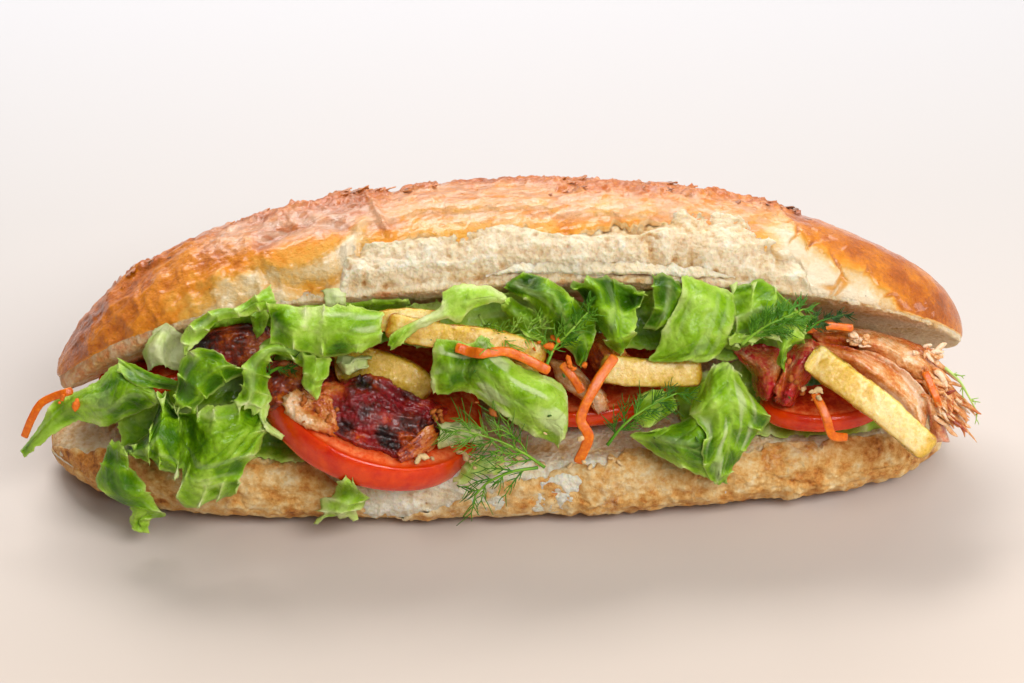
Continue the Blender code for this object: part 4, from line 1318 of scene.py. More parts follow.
leafLooks = {
    # of every leaf, in millimetres
    "thickness": 0.26,
    # frill and wave: height and length of the edge's ruffles; teeth: how far the edge is torn;
    # pucker: swelling between the veins; ribs: strength of lengthwise ribs; tone: pale 0, dark 1
    # fold: height of sharp folds; lobes: how far the outline swings; dark: veins darker than the
    # leaf instead of paler; midrib: how far off the middle it runs; branch: gap between branches
    "plain": {"frill": 0.8, "wave": 9.0, "teeth": 0.4, "pucker": 0.35, "ribs": 0.3, "tone": 0.50,
              "fold": 1.2, "lobes": 0.6, "dark": 0.0, "midrib": 0.05, "branch": 6.5},
    "corner_leaf": {"frill": 0.7, "wave": 11.0, "teeth": 0.3, "pucker": 0.3, "tone": 0.62},
    "corner_leaf_roll": {"frill": 0.5, "tone": 0.68},
    "folded_heart_leaf": {"frill": 1.0, "wave": 8.0, "pucker": 0.2, "ribs": 1.0, "tone": 0.08},
    "pale_ribbon": {"lobes": 1.2, "frill": 1.4, "wave": 7.0, "teeth": 0.6, "tone": 0.22},
    "green_flap": {"dark": 0.7, "fold": 1.8, "lobes": 1.5, "frill": 1.8, "wave": 7.0, "teeth": 1.0,
                   "pucker": 0.8, "tone": 0.52},
    "broad_ruffle": {"dark": 0.8, "fold": 2.0, "lobes": 1.4, "frill": 2.4, "wave": 8.0,
                     "teeth": 1.6, "pucker": 1.2, "tone": 0.50},
    "hanging_lobe": {"dark": 0.4, "fold": 1.5, "lobes": 0.8, "frill": 1.1, "wave": 8.0,
                     "teeth": 0.7, "pucker": 0.5, "tone": 0.55},
    "climbing_band": {"dark": 0.6, "lobes": 1.2, "frill": 1.5, "wave": 6.0, "teeth": 0.9,
                      "pucker": 0.8, "tone": 0.42},
    "hanging_tip": {"frill": 1.0, "wave": 5.0, "teeth": 0.6, "pucker": 0.6, "tone": 0.45},
    "side_ribbon": {"frill": 0.7, "wave": 6.0, "teeth": 0.4, "tone": 0.40},
    "broad_leaf": {"fold": 1.9, "frill": 1.3, "wave": 9.0, "teeth": 0.5, "pucker": 0.5, "ribs": 1.0,
                   "tone": 0.55},
    "long_ribbon": {"frill": 0.9, "wave": 9.0, "teeth": 0.4, "pucker": 0.6, "tone": 0.42},
    "ribbon_tail": {"frill": 0.7, "wave": 9.0, "tone": 0.58},
    "rolled_leaf": {"fold": 1.4, "frill": 1.0, "wave": 9.0, "teeth": 0.5, "pucker": 0.7, "tone": 0.55},
    "heart_ruffle": {"dark": 0.5, "fold": 1.6, "lobes": 1.2, "frill": 2.0, "wave": 8.0,
                     "teeth": 0.9, "pucker": 0.7, "tone": 0.50},
    "shade_leaf": {"frill": 1.2, "tone": 0.72},
    "square_leaf": {"frill": 0.6, "wave": 12.0, "teeth": 0.3, "pucker": 0.7, "tone": 0.42},
    "dill_leaf": {"dark": 0.6, "fold": 1.8, "lobes": 1.4, "frill": 2.2, "wave": 7.0, "teeth": 1.0,
                  "pucker": 0.9, "tone": 0.55},
    "tongue_leaf": {"frill": 1.2, "wave": 6.0, "teeth": 0.6, "tone": 0.36},
    "crown_leaf": {"fold": 2.0, "lobes": 1.0, "frill": 1.6, "wave": 10.0, "teeth": 0.8,
                   "pucker": 0.9, "ribs": 1.0, "tone": 0.45},
    "wing_leaf": {"frill": 1.0, "wave": 10.0, "teeth": 0.4, "pucker": 0.5, "tone": 0.60},
    "curl_leaf": {"frill": 1.0, "wave": 6.0, "teeth": 0.5, "tone": 0.48},
    "striped_leaf": {"fold": 1.5, "frill": 0.9, "wave": 12.0, "teeth": 0.3, "pucker": 0.4, "ribs": 1.6,
                     "tone": 0.46},
    "low_frill": {"lobes": 1.6, "frill": 1.2, "wave": 5.0, "teeth": 1.8, "pucker": 0.5, "tone": 0.25},
    "shaded_flap": {"frill": 0.5, "tone": 0.66},
    "hanging_point": {"frill": 0.9, "wave": 6.0, "teeth": 0.6, "tone": 0.42},
    "pale_scrap": {"frill": 0.5, "wave": 6.0, "teeth": 0.5, "ribs": 1.0, "tone": 0.16},
    "pale_frill": {"frill": 1.4, "wave": 5.0, "teeth": 0.5, "tone": 0.05},
    "tongue_frill": {"frill": 1.4, "wave": 5.0, "teeth": 0.6, "tone": 0.40},
    "sprig_leaf": {"frill": 0.8, "wave": 5.0, "teeth": 0.8, "pucker": 0.6, "tone": 0.42},
    "yellow_frill": {"frill": 1.4, "wave": 4.5, "teeth": 0.8, "pucker": 1.1, "tone": 0.12},
}


def leafSurface(name, look, seed):
    # the smooth net, then: edges waving out and in (height and sideways shift a quarter wave
    # apart), edges torn by noise, domes between the veins, ribs along the leaf, sharp folds
    points = smoothNet(leafNets[name], meshCells["leaf"])
    if name not in extraPieces:
        points = settleOnNode(points, name)
    at = sheetPlaces(points, seed, 7.3)
    flat, width, wave = at.flat, at.width, look["wave"]
    room = np.clip(width / 8.0, 0.25, 1.0)
    # ruffles
    reach = 2.6 + 2.4 * np.clip(look["frill"] / 2.0, 0.0, 1.0)
    sideFade = np.exp(-at.toSide / reach)
    endFade = np.exp(-at.toEnd / (0.85 * reach)) * (1.0 - sideFade)
    turn = 2.0 * math.pi / wave
    phase = turn * at.onSide[..., 0] + 3.0 * noise(at.onSide, wave * 1.3, seed + 1)
    endPhase = turn * at.onEnd[..., 1] + 3.0 * noise(at.onEnd, wave * 1.3, seed + 3)
    strength = 1.75 * look["frill"] * sideFade \
        * (0.75 + 0.5 * noise(at.onSide, wave * 2.2, seed + 2))
    endStrength = 1.28 * look["frill"] * endFade
    small = 0.62 * noise(at.onSide, 0.42 * wave, seed + 18) * np.exp(-at.toSide / 1.8)
    small = small + 0.5 * noise(at.onEnd, 0.42 * wave, seed + 19) * np.exp(-at.toEnd / 1.6)
    rise = room * (strength * np.sin(phase) + endStrength * np.sin(endPhase) + look["frill"] * small)
    shift = (room * 0.75 * strength * np.cos(phase))[..., None] * at.ahead
    shift = shift + (room * 0.7 * endStrength * np.cos(endPhase))[..., None] * at.aside
    # torn edge
    torn = (0.3 + look["teeth"]) * 2.6
    for place, gap, out, narrow, tearSeed, swingSeed in (
            (at.onSide, at.toSide, at.outAside, room, seed + 4, seed + 14),
            (at.onEnd, at.toEnd, at.outAhead, 1.0, seed + 6, seed + 15)):
        tear = torn * (creased(place, 3.2, tearSeed, 3) - 0.5) * np.exp(-gap / 1.5)
        swing = look["lobes"] * narrow * 1.6 * noise(place, 8.0, swingSeed) * np.exp(-gap / 5.0)
        shift = shift + (tear + swing)[..., None] * out
    # veins: a midrib that thins out along the leaf, branches slanting off it every few
    # millimetres, and a faint net between them; the leaf swells between the veins
    warped = flat + 2.2 * swayFlat(flat, 8.0, seed + 8)
    mid = warped[..., 1] - look["midrib"] * width
    ribWidth = 0.35 + 0.9 * smooth(1.0, 0.1, at.along / at.length)
    spine = np.exp(-(mid / ribWidth) ** 2) * smooth(0.0, 3.0, at.toEnd + 1.0)
    slant = (warped[..., 0] - 0.9 * np.abs(mid) + 2.2 * (mid > 0)) / look["branch"]
    gapToBranch = np.abs(slant - np.round(slant)) * look["branch"]
    branchFade = smooth(1.0, 0.2, np.abs(mid) / (0.6 * width + 1e-6))
    branches = np.exp(-(gapToBranch / 0.42) ** 2) * (0.45 + 0.55 * branchFade)
    near, far = cellDistances(warped * (0.9, 0.9, 1.0), 3.4, seed + 10)
    net = smooth(0.14, 0.02, far - near)
    vein = np.clip(np.maximum(np.maximum(spine, 0.75 * branches), 0.18 * net), 0.0, 1.0)
    dome = 0.75 * np.sin(math.pi * np.clip(gapToBranch / (0.5 * look["branch"]), 0.0, 1.0) * 0.5)
    dome = look["pucker"] * (1.3 * dome * (0.6 + 0.8 * noise(warped, 7.0, seed + 20)) - 0.5
                             + 0.35 * smooth(0.0, 0.5, far - near))
    ribs = look["ribs"] * smooth(0.15, 0.6, noise(flat * (0.16, 1.0, 1.0), 1.9, seed + 11)) \
        * smooth(1.0, 4.0, at.border)
    # folds and crinkles
    bent = flat + 2.5 * swayFlat(flat, 12.0, seed + 23)
    folds = creased(bent * (0.55, 1.0, 1.0), 14.0, seed + 16, 2) - 0.5
    crumple = 0.9 * layered(flat, 12.0, seed + 12, 3) + look["fold"] * 1.7 * folds
    crinkle = 0.55 * (creased(bent, 4.2, seed + 17, 2) - 0.5) + 0.14 * noise(flat, 1.7, seed + 25)
    inside = smooth(0.0, 2.5, at.border)
    rise = rise + (dome + 0.16 * ribs - 0.12 * vein) * inside + crumple * (0.35 + 0.65 * room) + crinkle
    points = points + shift
    points[..., 2] += rise
    points[..., 2] += liftClear(points)
    tone = look["tone"] + 0.11 + 0.46 * layered(flat, 14.0, seed + 13, 3)
    # painted shade and light: darker where the sheet sinks, paler where it rises; also paler within a few
    # millimetres of the border
    tone = tone - 0.11 * np.clip(rise, -2.0, 2.5) - 0.20 * smooth(4.5, 0.0, at.border)
    pale = vein * inside
    values = {"tone": tone, "vein": pale * (1.0 - look["dark"]), "seam": pale * look["dark"],
              "rib": ribs, "rim": smooth(1.1, 0.1, at.border)}
    return points, {key: np.clip(value, 0.0, 1.0) for key, value in values.items()}


def makeLeaf(name, material):
    # a leaf with its own look, where it has one
    look = {**leafLooks["plain"], **leafLooks.get(name, {})}
    points, values = leafSurface(name, look, seedOf(name))
    return makeSheet(name, points, leafLooks["thickness"], material, values,
                     standsFor(name))


def pathNet(path, bow):
    # rows across a path of (along, up, out, half width), bowed out in the middle
    path = np.array(path, dtype=float)
    run = np.gradient(path[:, :2], axis=0)
    run = run / np.linalg.norm(run, axis=1)[:, None]
    cross = np.stack([-run[:, 1], run[:, 0]], 1) * path[:, 3:4]
    rows = []
    for at, off in ((-1.0, 0.0), (0.0, bow), (1.0, 0.0)):
        place = path[:, :2] + at * cross
        rows.append(np.column_stack([place, path[:, 2] + off * path[:, 3]]))
    return np.stack(rows, 1)


def lettuceFinish():
    # thin and half clear: yellow-green, paler along veins, ribs and edges, with a wet sheen
    f = Finish("lettuce")
    tone = f.sum(f.kept("tone"), f.mottle(7.0, 5.0, 0.6, 0.09), f.mottle(1.2, 4.0, 0.6, 0.04))
    shade = f.ramp(tone, [(0.0, (244, 244, 196)), (0.18, (228, 240, 158)), (0.36, (190, 226, 82)),
                          (0.55, (142, 190, 12)), (0.76, (72, 126, 0)), (1.0, (20, 58, 0))])
    fineVeins = f.spread(f.cells(1.9, "DISTANCE_TO_EDGE"), 0.015, 0.10, 0.14, 0.0)
    veins = f.math("MAXIMUM", f.kept("vein"), fineVeins)
    for share, paint in ((f.times(veins, 0.30), (210, 234, 120)),
                         (f.times(f.kept("seam"), 0.6), (60, 116, 4)),
                         (f.times(f.kept("rib"), 0.55), (232, 238, 190)),
                         (f.times(f.kept("rim"), 0.55), (212, 230, 120))):
        shade = f.blend(share, shade, colour(*paint))
    height = f.sum(f.times(f.cells(1.9, "F1"), -0.5), f.grain(1.4, 4.0, 0.6), f.times(veins, -0.4),
                   f.times(f.grain(3.5, 3.0, 0.55), 2.0))
    normal = f.bump(height, 0.36)
    f.wear(Base_Color=shade, Roughness=f.spread(f.grain(3.0, 3.0), 0.35, 0.65, 0.24, 0.40),
           Specular_IOR_Level=0.22, Coat_Weight=0.22, Coat_Roughness=0.07, Normal=normal)
    through = f.add("ShaderNodeBsdfTranslucent")
    f.put(f.blend(0.35, shade, colour(190, 236, 10)), through.inputs["Color"])
    f.put(normal, through.inputs["Normal"])
    mix = f.add("ShaderNodeMixShader")
    mix.inputs[0].default_value = 0.34
    f.put(f.shader.outputs[0], mix.inputs[1])
    f.put(through.outputs[0], mix.inputs[2])
    f.put(mix.outputs[0], f.tree.nodes["Material Output"].inputs["Surface"])
    return f.material


# Tomato, chicken, chips and carrot.


def closedPebble(name, front, back, material, values, nodes):
    # two grids of places that share their border: a front and a back
    countU, countV = front.shape[:2]
    faces = gridFaces(countU, countV)
    inner = np.zeros((countU, countV), dtype=bool)
    inner[1:-1, 1:-1] = True
    backNumber = np.arange(countU * countV).reshape(countU, countV)
    backNumber[inner] = countU * countV + np.arange(inner.sum())
    backFaces = backNumber.ravel()[faces][:, ::-1]
    world = faceToWorld(front)
    points = np.concatenate([world.reshape(-1, 3), faceToWorld(back)[inner]])
    both = {key: np.concatenate([v.ravel(), v[inner]]) for key, v in values.items()}
    raiseGround(front)
    backwards = (surfaceNormals(world) @ faceOut).mean() < 0.0
    return makePiece(name, points, np.concatenate([faces, backFaces]), material, both,
                     nodes, inward=backwards)


meatNets = {
    "chicken_right_slab": [
        [(89, 38, 40), (90, 37, 45), (93, 34, 43)],
        [(101, 39, 41), (101, 36, 48), (102, 32, 46)],
        [(113, 37, 41), (112, 33, 50), (112, 28, 48)],
        [(124, 33, 42), (120, 28, 51), (119, 23, 49)],
        [(130, 27, 42), (126, 22, 51), (123, 17, 49)],
        [(133, 21, 42), (130, 16, 49), (126, 11, 47)],
    ],
    "chicken_right_shred": [
        [(90, 35, 44), (92, 33, 49), (95, 29, 46)],
        [(102, 33, 46), (101, 30, 53), (103, 24, 50)],
        [(111, 30, 46), (109, 25, 54), (110, 19, 51)],
        [(118, 25, 46), (116, 19, 54), (116, 13, 50)],
        [(123, 19, 46), (121, 14, 53), (121, 7, 49)],
        [(126, 13, 44), (124, 9, 49), (123, 4, 46)],
    ],
    "chicken_charred": [
        [(-70, 23, 45), (-70, 21, 46), (-68, 17, 45)],
        [(-61, 27, 46), (-61, 20, 52), (-61, 13, 48)],
        [(-53, 28, 47), (-52, 19, 55), (-52, 9, 49)],
        [(-43, 28, 47), (-44, 17, 56), (-45, 6, 49)],
        [(-35, 25, 46), (-36, 15, 54), (-37, 3, 48)],
        [(-26, 21, 45), (-28, 14, 51), (-30, 4, 47)],
        [(-20, 16, 43), (-22, 13, 45), (-24, 7, 44)],
    ],
    "chicken_strip": [
        [(-38, 6, 50), (-38, 4, 53), (-37, 2, 50)],
        [(-34, 8, 51), (-33, 6, 55), (-32, 4, 51)],
        [(-30, 11, 51), (-28, 9, 55), (-27, 7, 51)],
        [(-26, 14, 50), (-25, 12, 53), (-24, 10, 50)],
    ],
    "chicken_wing_left": [
        [(65, 34, 40), (69, 34, 44), (74, 35, 41)],
        [(67, 31, 42), (72, 31, 49), (79, 33, 44)],
        [(71, 27, 43), (75, 27, 51), (81, 29, 46)],
        [(72, 22, 43), (76, 22, 50), (80, 23, 45)],
        [(74, 18, 41), (76, 17, 46), (79, 19, 42)],
    ],
    "chicken_wing_right": [
        [(85, 34, 43), (89, 36, 46), (93, 34, 43)],
        [(82, 31, 45), (87, 31, 52), (93, 30, 45)],
        [(80, 26, 45), (84, 26, 53), (91, 26, 45)],
        [(78, 21, 44), (82, 20, 51), (87, 21, 44)],
        [(78, 17, 41), (81, 15, 45), (85, 17, 42)],
    ],
    "chicken_middle": [
        [(21, 39, 42), (25, 40, 45), (30, 38, 42)],
        [(21, 35, 43), (27, 35, 50), (33, 34, 43)],
        [(23, 30, 43), (29, 30, 50), (36, 31, 43)],
        [(26, 26, 42), (29, 25, 46), (35, 26, 42)],
    ],
    "chicken_pale_slab": [
        [(8, 33, 41), (11, 30, 43), (12, 26, 41)],
        [(13, 32, 43), (15, 28, 46), (16, 22, 43)],
        [(18, 30, 43), (20, 24, 47), (22, 18, 43)],
        [(22, 26, 42), (24, 21, 45), (25, 16, 42)],
    ],
    "chicken_crisp": [
        [(20, 23, 44), (24, 24, 47), (27, 22, 44)],
        [(21, 20, 45), (24, 20, 50), (28, 19, 45)],
        [(23, 16, 44), (25, 15, 46), (28, 17, 44)],
    ],
    "pale_edge": [
        [(-71, 23, 47), (-70, 20, 49), (-69, 17, 47)],
        [(-66, 25, 50), (-65, 20, 54), (-63, 13, 50)],
        [(-60, 25, 50), (-59, 19, 55), (-57, 11, 50)],
        [(-55, 22, 47), (-55, 16, 51), (-54, 9, 47)],
    ],
    "chicken_left_back": [
        [(-104, 34, 34), (-101, 42, 36), (-97, 46, 34)],
        [(-92, 32, 40), (-90, 41, 44), (-88, 47, 38)],
        [(-80, 32, 40), (-80, 41, 45), (-80, 47, 38)],
        [(-69, 36, 34), (-70, 41, 36), (-72, 45, 34)],
    ],
    "chicken_left": [
        [(-84, 20, 38), (-83, 27, 42), (-82, 33, 38)],
        [(-74, 19, 42), (-73, 27, 48), (-72, 34, 42)],
        [(-63, 20, 42), (-62, 27, 48), (-62, 33, 42)],
        [(-55, 23, 38), (-54, 27, 40), (-54, 31, 38)],
    ],
    "ham_strip": [
        [(123, 18, 46), (125, 17, 49), (128, 16, 46)],
        [(125, 10, 46), (127, 9, 50), (130, 8, 46)],
        [(126, 3, 43), (129, 3, 46), (132, 3, 43)],
    ],
}

chickenSpec = {
    # thick: height over its edge; char: 0 pale to 1 black; glaze: smooth orange patches;
    # fibre: depth of the threads; knobs: height of the crisp grains; rag: ragged outline;
    # red: how much purple-red juice; lumps: height of the broad swellings
    "plain": {"thick": 3.0, "char": 0.5, "glaze": 0.3, "fibre": 0.6, "knobs": 0.35, "rag": 1.0,
              "red": 0.2, "lumps": 1.0},
    "chicken_right_slab": {"thick": 2.8, "char": 0.34, "glaze": 0.5, "fibre": 0.4, "knobs": 0.15,
                           "rag": 1.4, "red": 0.25, "lumps": 1.9},
    "chicken_right_shred": {"thick": 2.6, "char": 0.30, "glaze": 0.7, "fibre": 0.25, "knobs": 0.05,
                            "rag": 1.2, "red": 0.25, "lumps": 1.7},
    "chicken_charred": {"thick": 5.0, "char": 0.86, "glaze": 0.45, "fibre": 0.4, "knobs": 1.4,
                        "rag": 2.8, "red": 0.5, "lumps": 2.4},
    "pale_edge": {"thick": 2.2, "char": 0.20, "glaze": 0.0, "fibre": 0.9, "knobs": 0.8, "rag": 2.2,
                  "red": 0.05},
    "chicken_strip": {"thick": 1.8, "char": 0.40, "glaze": 0.5, "fibre": 0.9, "knobs": 0.3, "rag": 1.2,
                      "red": 0.1},
    "chicken_wing_left": {"thick": 3.4, "char": 0.54, "glaze": 0.6, "fibre": 0.5, "knobs": 1.0,
                          "rag": 2.0, "red": 1.0, "lumps": 1.8},
    "chicken_wing_right": {"thick": 3.4, "char": 0.56, "glaze": 0.6, "fibre": 0.5, "knobs": 1.0,
                           "rag": 2.0, "red": 1.0, "lumps": 1.8},
    "chicken_middle": {"thick": 3.4, "char": 0.62, "glaze": 0.5, "knobs": 0.9, "rag": 1.8,
                       "lumps": 1.8, "red": 0.3},
    "chicken_pale_slab": {"thick": 1.8, "char": 0.16, "glaze": 0.0, "fibre": 0.3, "knobs": 0.0,
                          "rag": 0.6, "red": 0.1},
    "chicken_crisp": {"thick": 2.4, "char": 0.30, "knobs": 1.3, "rag": 2.2, "fibre": 0.3, "glaze": 0.1},
    "chicken_left_back": {"char": 0.72, "glaze": 0.4, "knobs": 0.6, "red": 0.5},
    "chicken_left": {"char": 0.66, "glaze": 0.5, "knobs": 0.5, "fibre": 0.9},
    "ham_strip": {"thick": 1.0, "char": 0.10, "glaze": 0.0, "fibre": 0.3, "knobs": 0.0, "rag": 0.5,
                  "red": 0.5},
}


def makeMeat(name, material):
    # a rounded slab over a smooth net: sqrt(1 - (1 - t)^2) up from its ragged edge, then threads
    # along it, swellings, crisp grains and smooth glazed patches
    look = {**chickenSpec["plain"], **chickenSpec[name]}
    seed = seedOf(name)
    points = smoothNet(meatNets[name], meshCells["meat"])
    at = sheetPlaces(points, seed, 9.1)
    p, thick = at.flat, look["thick"]
    # ragged outline
    for place, gap, out, shapeSeed in ((at.onSide, at.toSide, at.outAside, seed),
                                       (at.onEnd, at.toEnd, at.outAhead, seed + 2)):
        torn = 1.3 * layered(place, 6.0, shapeSeed, 2) + 1.1 * (creased(place, 2.6, shapeSeed + 1, 2) - 0.5)
        points = points + (look["rag"] * torn * np.exp(-gap / 2.0))[..., None] * out
    # relief
    warped = p + 1.2 * swayFlat(p, 4.5, seed + 21)
    body = np.sqrt(1.0 - (1.0 - np.clip(at.border / (0.9 * thick), 0.0, 1.0)) ** 2)
    swell = layered(warped, 9.0, seed + 4, 3)
    thread = creased(warped * (0.2, 1.0, 1.0), 2.4, seed + 5, 3)
    fold = creased(warped * (0.5, 1.0, 1.0), 8.0, seed + 6, 2) - 0.45
    glaze = smooth(0.0, 0.25, noise(p, 8.0, seed + 7) + 0.9 * (look["glaze"] - 0.5))
    near, _ = cellDistances(warped, 1.7, seed + 8)
    fineNear, _ = cellDistances(warped, 0.9, seed + 9)
    grains = smooth(0.85, 0.1, near) + 0.45 * smooth(0.8, 0.1, fineNear)
    grains = grains * (0.35 + 0.65 * smooth(-0.2, 0.3, noise(p, 5.0, seed + 10))) * (1.0 - 0.8 * glaze)
    rise = thick * body + look["lumps"] * (1.3 * swell + 1.1 * fold) * (0.3 + 0.7 * body)
    rise = rise + look["fibre"] * (thread - 0.45) * (1.0 - 0.5 * glaze) + look["knobs"] * (grains - 0.4)
    front, back = points.copy(), points.copy()
    front[..., 2] += np.maximum(rise, 0.1) - 0.5 * thick
    back[..., 2] -= 0.5 * thick + 2.2 * body
    front[..., 2] += liftClear(front - (0.0, 0.0, 0.35 * thick), 7.0)
    back[..., 2] = np.where(at.border < 1e-6, front[..., 2],
                            np.minimum(back[..., 2], front[..., 2] - 0.4))
    char = look["char"] + 0.44 * layered(p, 8.0, seed + 11, 3) + 0.16 * (grains - 0.4) * look["knobs"]
    char = char - 0.10 * swell + 0.12 * smooth(0.5, 0.2, thread) - 0.30 * glaze * look["glaze"]
    char = char + 0.10 * smooth(1.6, 0.2, at.border) * (look["char"] < 0.5)
    stained = noise(p, 6.5, seed + 12) + 0.4 * (look["red"] - 0.3) + 0.4 * smooth(3.0, 0.5, at.border)
    values = {"char": np.clip(char, 0.0, 1.0), "red": look["red"] * smooth(-0.1, 0.5, stained)}
    return closedPebble(name, front, back, material, values, standsFor(name))


def chickenFinish():
    # grilled meat: pale and thready inside, glazed golden, red-brown and nearly black outside
    f = Finish("chicken")
    char = f.sum(f.kept("char"), f.mottle(2.4, 5.0, 0.65, 0.14), f.mottle(0.8, 3.0, 0.6, 0.09))
    shade = f.ramp(char, [(0.0, (242, 208, 172)), (0.16, (228, 168, 108)), (0.32, (208, 128, 56)),
                          (0.48, (190, 88, 14)), (0.64, (140, 40, 6)), (0.8, (78, 16, 6)),
                          (1.0, (22, 6, 6))])
    juice = f.times(f.kept("red"), f.spread(f.grain(1.6, 4.0), 0.35, 0.6, 0.3, 1.0))
    shade = f.blend(juice, shade, colour(186, 8, 30))
    height = f.sum(f.grain(0.9, 5.0, 0.65), f.times(f.cells(0.8, "F1"), 0.6))
    wet = f.spread(f.grain(1.6, 4.0), 0.35, 0.65, 0.16, 0.46)
    return f.wear(Base_Color=shade, Roughness=wet, Specular_IOR_Level=0.45, Coat_Weight=0.4,
                  Coat_Roughness=0.12, Normal=f.bump(height, 0.3), Subsurface_Weight=0.12,
                  Subsurface_Radius=(1.0, 0.4, 0.2), Subsurface_Scale=0.002)


def threadMesh(lines, radius, around, flat=1.0):
    # tubes along many lines at once: a ring of points about every place of a line, its radius
    # times cosine and sine along two directions square to the line; squares close the ends
    count, places = lines.shape[:2]
    ahead = unit(np.gradient(lines, axis=1))
    aside = unit(np.cross(ahead, np.array([0.3, 0.2, 0.93])))
    across = np.cross(ahead, aside)
    angle = np.linspace(0.0, 2.0 * math.pi, around, endpoint=False)[:, None]
    ring = aside[:, :, None, :] * np.cos(angle) + flat * across[:, :, None, :] * np.sin(angle)
    points = lines[:, :, None, :] + ring * radius[:, :, None, None]
    cap = np.stack([np.zeros(around // 2 - 1, int), np.arange(1, around - 2, 2),
                    np.arange(2, around - 1, 2), np.arange(3, around, 2)], 1)
    tube = np.concatenate([gridFaces(places, around, around=True)[:, ::-1], cap[:, ::-1],
                           cap + (places - 1) * around])
    faces = tube[None] + (np.arange(count) * places * around)[:, None, None]
    return points, faces.reshape(-1, 4)


strandSpec = {
    # bundles of strands: start and end (along, up, out), how far they scatter, how many, length,
    # thickness, shade, and how far they fan out
    "chicken_right_end": {"from": (123, 22, 48), "to": (137, 7, 45), "scatter": (2.4, 4.6, 1.8),
                          "count": 110, "long": 11.5, "thick": 0.85, "char": 0.24, "fan": 0.2},
    "right_shreds": {"from": (101, 36, 50), "to": (107, 34, 50), "scatter": (1.6, 1.8, 0.8),
                     "count": 20, "long": 3.6, "thick": 0.8, "char": 0.12, "fan": 0.3},
    "tip_shreds": {"from": (124, 31, 49), "to": (130, 29, 47), "scatter": (2.4, 1.4, 0.8),
                   "count": 26, "long": 3.8, "thick": 0.8, "char": 0.12, "fan": 0.3},
}


def makeStrands(name, material):
    # curved threads along bent lines, which thin out towards their tips as 1 - 0.8 t^5
    spec = strandSpec[name]
    rng = np.random.default_rng(seedOf(name))
    count, rings, around = spec["count"], 12, 8
    first, last = np.array(spec["from"], float), np.array(spec["to"], float)
    share = rng.uniform(0.0, 0.75, count)[:, None]
    start = first + (last - first) * share * 0.6
    start = start + rng.normal(size=(count, 3)) * np.array(spec["scatter"]) * 0.6
    heading = unit(unit(last - first) + spec["fan"] * rng.normal(size=(count, 3)))
    bend = 0.35 * rng.normal(size=(count, 3))
    length = spec["long"] * rng.uniform(0.45, 1.1, count)[:, None, None]
    t = np.linspace(0.0, 1.0, rings)[None, :, None]
    curl = 0.35 * np.sin(2.6 * t + rng.uniform(0, 3, (count, 1, 1)))
    line = start[:, None, :] + length * (heading[:, None, :] * t + bend[:, None, :] * curl)
    line = line + 0.45 * sway(line, 2.2, 3, 4, 5)
    radius = spec["thick"] * rng.uniform(0.5, 1.2, (count, 1)) * (1.0 - 0.8 * t[..., 0] ** 5)
    radius[:, 0] *= 0.2
    points, faces = threadMesh(line, radius, around, 0.6)
    lift = np.clip(shortfall(points, 0.1).max(2), 0.0, 6.0)
    points[..., 2] += lift.mean(1)[:, None, None]
    char = np.clip(spec["char"] + 0.12 * rng.normal(size=(count, 1, 1)) + 0 * points[..., 0], 0, 1)
    return makePiece(name, faceToWorld(points), faces, material, {"char": char},
                     standsFor(name))


tomatoSpec = {
    # half length and half depth of the slice, thickness, lean of its face and turn in degrees,
    # and a last shift (along, up, out)
    "tomato_slice_front": {"half": (33.0, 33.0), "thick": 10.0, "lean": 38.0, "turn": -22.0,
                           "shift": (0.0, 0.5, -1.0)},
    "tomato_slice_middle": {"half": (27.0, 19.0), "thick": 6.0, "lean": 42.0, "turn": 4.0,
                            "shift": (-4.0, 4.5, -2.0)},
    "tomato_slice_right": {"half": (18.5, 11.0), "thick": 6.0, "lean": 34.0, "turn": 3.0,
                           "shift": (0.0, 2.6, 0.0)},
    "tomato_slice_left": {"half": (14.0, 9.5), "thick": 5.0, "lean": 30.0, "turn": 12.0,
                          "shift": (0.0, 0.0, 0.0)},
}


